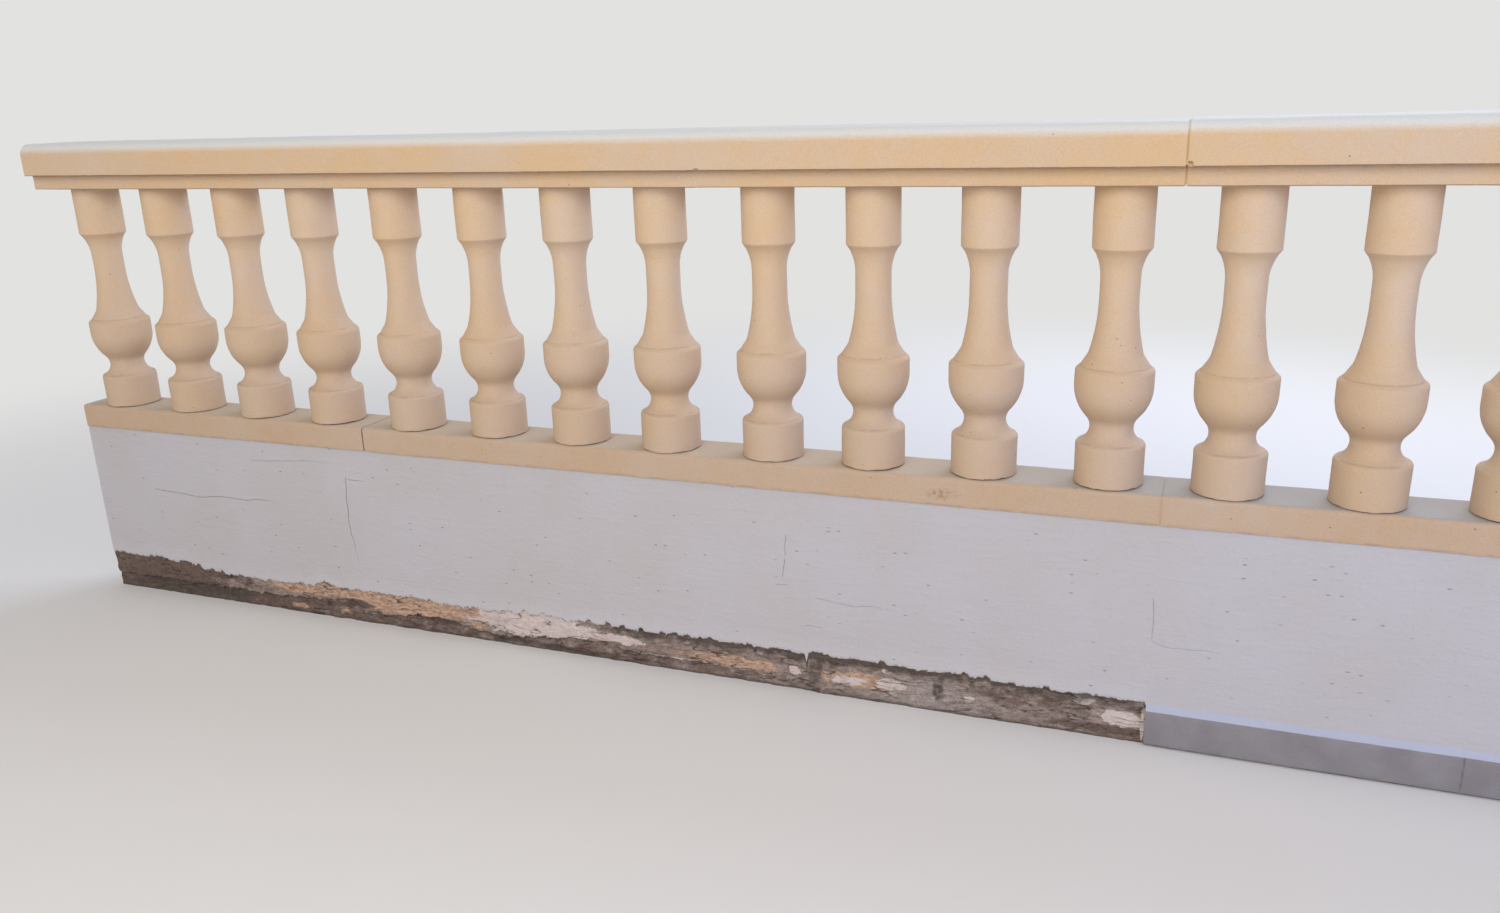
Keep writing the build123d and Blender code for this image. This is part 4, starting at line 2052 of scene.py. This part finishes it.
@dataclass
class Balustrade:
    """The run of balustrade: everything that is modelled again, and the finish of the rest."""

    broken_edge: tuple[Point, ...] = (
        (-2.0, 110 * MM),
        (-1.72, 108 * MM),
        (-1.64, 94 * MM),
        (-1.5, 85 * MM),
        (-1.35, 84 * MM),
        (-1.3, 93 * MM),
        (-1.24, 90 * MM),
        (-1.2, 104 * MM),
        (-1.16, 90 * MM),
        (-1.05, 94 * MM),
        (-0.9, 94 * MM),
        (-0.82, 89 * MM),
        (-0.7, 89 * MM),
        (-0.58, 94 * MM),
        (-0.32, 96 * MM),
        (0.31, 102 * MM),
        (0.67, 100 * MM),
        (1.0, 95 * MM),
    )
    layer_line: tuple[Point, ...] = (
        (-2.0, 45 * MM),
        (-1.41, 46 * MM),
        (-1.23, 52 * MM),
        (-1.11, 66 * MM),
        (-1.07, 36 * MM),
        (-0.97, 34 * MM),
        (-0.91, 46 * MM),
        (-0.83, 49 * MM),
        (-0.74, 32 * MM),
        (-0.61, 21 * MM),
        (-0.44, 46 * MM),
        (-0.31, 50 * MM),
        (-0.25, 36 * MM),
        (-0.05, 34 * MM),
        (0.10, 28 * MM),
        (0.22, 16 * MM),
        (0.34, -20 * MM),
    )
    drips: tuple[Point, ...] = ((0.2265, 27 * MM), (-0.222, 7 * MM), (0.63, 6 * MM))
    cracks: tuple[Crack, ...] = (
        Crack(((-1.079, 426 * MM), (-1.086, 348 * MM), (-1.084, 262 * MM), (-1.069, 160 * MM)), 2.0 * MM),
        Crack(((-1.075, 424 * MM), (-1.02, 421 * MM)), 1.2 * MM),
        Crack(((-1.78, 330 * MM), (-1.61, 324 * MM), (-1.39, 333 * MM), (-1.21, 339 * MM)), 1.4 * MM),
        Crack(((-1.40, 452 * MM), (-1.12, 467 * MM)), 0.8 * MM),
        Crack(((0.182, 396 * MM), (0.179, 346 * MM)), 1.0 * MM),
        Crack(((0.178, 338 * MM), (0.172, 292 * MM)), 1.0 * MM),
        Crack(((0.152, 270 * MM), (0.186, 273 * MM)), 1.0 * MM),
        Crack(((0.225, 174 * MM), (0.268, 176 * MM)), 0.9 * MM),
        Crack(((0.251, 249 * MM), (0.36, 240 * MM), (0.455, 243 * MM)), 0.8 * MM),
        Crack(((0.998, 345 * MM), (1.001, 268 * MM), (1.004, 246 * MM)), 0.7 * MM),
        Crack(((1.004, 246 * MM), (1.03, 238 * MM), (1.142, 236 * MM)), 0.7 * MM),
    )
    lower_brown: tuple[Point, ...] = (
        (-2.0, 0.95),
        (-1.4, 0.9),
        (-1.1, 0.7),
        (-0.7, 0.65),
        (-0.3, 0.6),
        (0.1, 0.35),
        (0.34, 0.0),
    )
    # How strong the painted shadow under the render's edge is, along the wall
    shadow_under_render: tuple[Point, ...] = (
        (-2.0, 0.2),
        (-0.4, 0.0),
        (-0.27, 0.75),
        (0.2, 0.85),
        (0.66, 0.8),
        (1.0, 0.55),
    )
    old_paint: tuple[Mark, ...] = (
        Mark(Coat.OCHRE, -0.93, 70 * MM, 0.25, 34 * MM),
        Mark(Coat.OCHRE, -1.26, 80 * MM, 0.15, 20 * MM, 0.9),
        Mark(Coat.OCHRE, -1.15, 26 * MM, 0.05, 24 * MM),
        Mark(Coat.OCHRE, -1.30, 20 * MM, 0.10, 16 * MM),
        Mark(Coat.OCHRE, -0.70, 62 * MM, 0.03, 40 * MM),
        Mark(Coat.CREAM, -0.52, 72 * MM, 0.19, 44 * MM),
        Mark(Coat.CREAM, -0.30, 62 * MM, 0.09, 13 * MM),
        Mark(Coat.OCHRE, 0.04, 49 * MM, 0.15, 14 * MM, 1.1),
        Mark(Coat.CREAM, -0.12, 33 * MM, 0.05, 4 * MM),
        Mark(Coat.CREAM, 0.06, 26 * MM, 0.03, 4 * MM),
        Mark(Coat.CREAM, 0.195, 50 * MM, 0.016, 12 * MM, 0.8),
        Mark(Coat.OCHRE, 0.36, 48 * MM, 0.10, 18 * MM, 0.8),
        Mark(Coat.CREAM, 0.33, 44 * MM, 0.045, 11 * MM, 0.75),
        Mark(Coat.CREAM, 0.43, 50 * MM, 0.035, 13 * MM, 0.75),
        Mark(Coat.CREAM, 0.105, 87 * MM, 0.016, 9 * MM, 0.7),
        Mark(Coat.CREAM, 0.425, 83 * MM, 0.014, 8 * MM, 0.7),
        Mark(Coat.CREAM, 0.617, 44 * MM, 0.013, 6 * MM),
        Mark(Coat.CREAM, 0.871, 86 * MM, 0.025, 12 * MM),
        Mark(Coat.CREAM, 0.948, 50 * MM, 0.046, 18 * MM),
        Mark(Coat.CREAM, 0.996, 40 * MM, 0.004, 60 * MM),
        Mark(Coat.BROWN, -1.80, 70 * MM, 0.28, 60 * MM),
        Mark(Coat.BROWN, 0.74, 68 * MM, 0.12, 18 * MM, 0.6),
        Mark(Coat.BROWN, 0.93, 20 * MM, 0.12, 12 * MM),
        Mark(Coat.SOOT, -1.72, 26 * MM, 0.25, 22 * MM),
        Mark(Coat.SOOT, -1.10, 52 * MM, 0.05, 14 * MM),
        Mark(Coat.SOOT, -0.80, 40 * MM, 0.05, 8 * MM),
        Mark(Coat.SOOT, -0.60, 16 * MM, 0.06, 12 * MM),
        Mark(Coat.SOOT, -0.42, 12 * MM, 0.10, 9 * MM),
        Mark(Coat.SOOT, 0.247, 60 * MM, 0.014, 80 * MM, 0.62),
        Mark(Coat.SOOT, 0.545, 66 * MM, 0.012, 40 * MM, 0.7),
    )
    chips: tuple[Chip, ...] = (
        Chip("handrail_3", (0.012, -0.110, 1.225), (9 * MM, 6 * MM, 5 * MM)),
        Chip("handrail_4", (1.004, -0.110, 1.227), (9 * MM, 8 * MM, 9 * MM)),
        Chip("handrail_4", (1.62, -0.111, 1.224), (7 * MM, 4 * MM, 3 * MM)),
        Chip("handrail_2", (-0.41, -0.111, 1.224), (8 * MM, 4 * MM, 3 * MM)),
        Chip("handrail_1", (-1.37, -0.111, 1.224), (6 * MM, 4 * MM, 3 * MM)),
    )

    def build(self) -> None:
        """Model every piece in order, from the wall up, and finish what keeps its shape."""
        render = PaintedRender().make()
        mortar = BareMortar().make()
        pointing = RoughMortar().make()
        front = self.front_render(render)
        self.back_render(render)
        self.bare_bed(front, mortar)
        self.skirting()

        low_paint = self.base_rail_paint()
        rail_paint = self.handrail_paint()
        CastRails("base_rail", wave_grain=160 * MM).build(low_paint)
        CastRails("handrail", chips=self.chips, settled="handrail_3").build(rail_paint)
        RailJoints("base_rail_joints", (Fill.OPEN, Fill.FLUSH, Fill.HAIRLINE)).build(low_paint, pointing)
        RailJoints("handrail_joints", (Fill.FLUSH, Fill.FLUSH, Fill.RAKED)).build(rail_paint, pointing)
        self.balusters()

        finish_node("wall_core", RoughMortar(name="rough_blockwork", light="#8f8880", dark="#6c655e").make())
        finish_node("left_end_render", render)
        finish_node("right_end_render", render)
        finish_node("tile_mortar_bed", mortar)

    def skirting(self) -> None:
        """Lay the skirting tiles with their grout, and the mortar lip over them."""
        stoneware = Stoneware().make()
        grout = RoughMortar(name="grey_tile_grout", light="#8b8587", dark="#767072").make()
        # The lip's paint is the wall's, bluer as painted sky light on a face that looks up
        sky_lit_lip_paint = PaintedRender(name="sky_lit_white_wall_paint_on_lip", white="#b5bacc", worn="#b1b6c8").make()
        skirting = Skirting()
        tiles = ("skirting_tile_1", "skirting_tile_2")
        for node in tiles:
            skirting.tile(node, stoneware)
        skirting.grout(*tiles, grout)
        skirting.lip("skirting_cove", sky_lit_lip_paint)

    def balusters(self) -> None:
        """Turn the balusters and paint them, with dirt at the foot and painted shade in the creases."""
        turned = TurnedBaluster()
        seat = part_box("baluster_1")[0].z
        creases = tuple(seat + height for height in turned.crease_heights)
        turned.build(MasonryPaint(dirt_lines=(seat,), crease_shade_lines=creases).make())

    def handrail_paint(self) -> Material:
        """Return the handrail's paint: grimy with painted shade underneath, dusting and painted light on top.
        """
        return MasonryPaint(
            name="weathered_masonry_paint_on_handrail",
            paint="#d4b38b",
            faded="#d0b8a0",
            dust_and_light="#dcdddb",
            dust_and_light_cover=0.95,
            dust_and_light_slope=(0.05, 0.75),
            grime_and_shade_cover=0.75,
            dirt_lines=(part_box("handrail_1")[0].z + BAND_HEIGHT,),
        ).make()

    def base_rail_paint(self) -> Material:
        """Return the base rail's paint: painted shade low down, dusting and painted light on its top."""
        return MasonryPaint(
            name="low_shaded_masonry_paint_on_base_rail",
            # Its paint is a little darker than the handrail's, as painted shade on the lower rail
            paint="#ccab86",
            faded="#ceb8a2",
            dust_and_light="#c3b4a1",
            # The top turns greyer towards the right end, as painted shade
            far_dust_and_light="#a9a6a2",
            dust_and_light_cover=0.9,
            grime_and_shade_cover=0.75,
            dirt_lines=(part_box("base_rail_1")[0].z,),
            dirt_reach=8 * MM,
            dirt_cover=0.4,
            smudges=(((0.547, -71 * MM, 533 * MM), (48 * MM, 30 * MM, 19 * MM)),),
            pinhole_share=0.03,
        ).make()

    def front_render(self, material: Material) -> RenderCoat:
        """Model the front render with its broken edge and its cracks.

        Args:
            material: The finish.

        Returns:
            The coat, whose lower edge the bare mortar follows.
        """
        low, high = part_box("front_render")
        coat = RenderCoat(
            name="cracked_front_render",
            columns=1400,
            rows=40,
            front=low.y,
            back=high.y,
            left=low.x,
            right=high.x,
            top=high.z,
            lower_edge=self.broken_edge,
            ragged_end=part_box("bare_mortar_bed")[1].x,
            drips=self.drips,
        )
        piece = coat.model()
        for crack in self.cracks:
            carve(piece, crack.cutter(coat.front))
        coat.mark(piece)
        smooth(piece)
        hand_over(piece, Slot.WHITE_RENDER, material, "front_render")
        return coat

    def back_render(self, material: Material) -> None:
        """Model the plain render on the back of the wall.

        Args:
            material: The finish.
        """
        low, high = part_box("back_render")
        coat = RenderCoat(
            name="trowelled_back_render",
            columns=260,
            rows=34,
            front=high.y,
            back=low.y,
            left=low.x,
            right=high.x,
            top=high.z,
            lower_edge=((low.x, low.z), (high.x, low.z)),
            ragged_end=low.x - 1,
            fine_rows=1.0,
        )
        piece = coat.model()
        smooth(piece)
        hand_over(piece, Slot.WHITE_RENDER, material, "back_render")

    def bare_bed(self, front: RenderCoat, material: Material) -> None:
        """Model the bare mortar under the front render's broken edge.

        Args:
            front: The coat of render above it.
            material: The finish.
        """
        low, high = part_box("bare_mortar_bed")
        bed = MortarBed(
            name="broken_mortar_bed",
            columns=1150,
            rows=44,
            front=low.y,
            back=high.y,
            left=low.x,
            right=high.x,
            upper_edge=front.lower,
            layer_line=self.layer_line,
            lower_brown=self.lower_brown,
            shadow_under_render=self.shadow_under_render,
            marks=self.old_paint,
        )
        bed.build(material, "bare_mortar_bed")


def main() -> None:
    """Build the balustrade and the picture of it."""
    logging.basicConfig(level=logging.INFO, format="%(name)s: %(message)s")
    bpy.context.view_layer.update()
    Balustrade().build()
    Viewpoint().build()
    Studio().build()
    bpy.context.scene.view_settings.view_transform = "Standard"


if __name__ == "__main__":
    main()
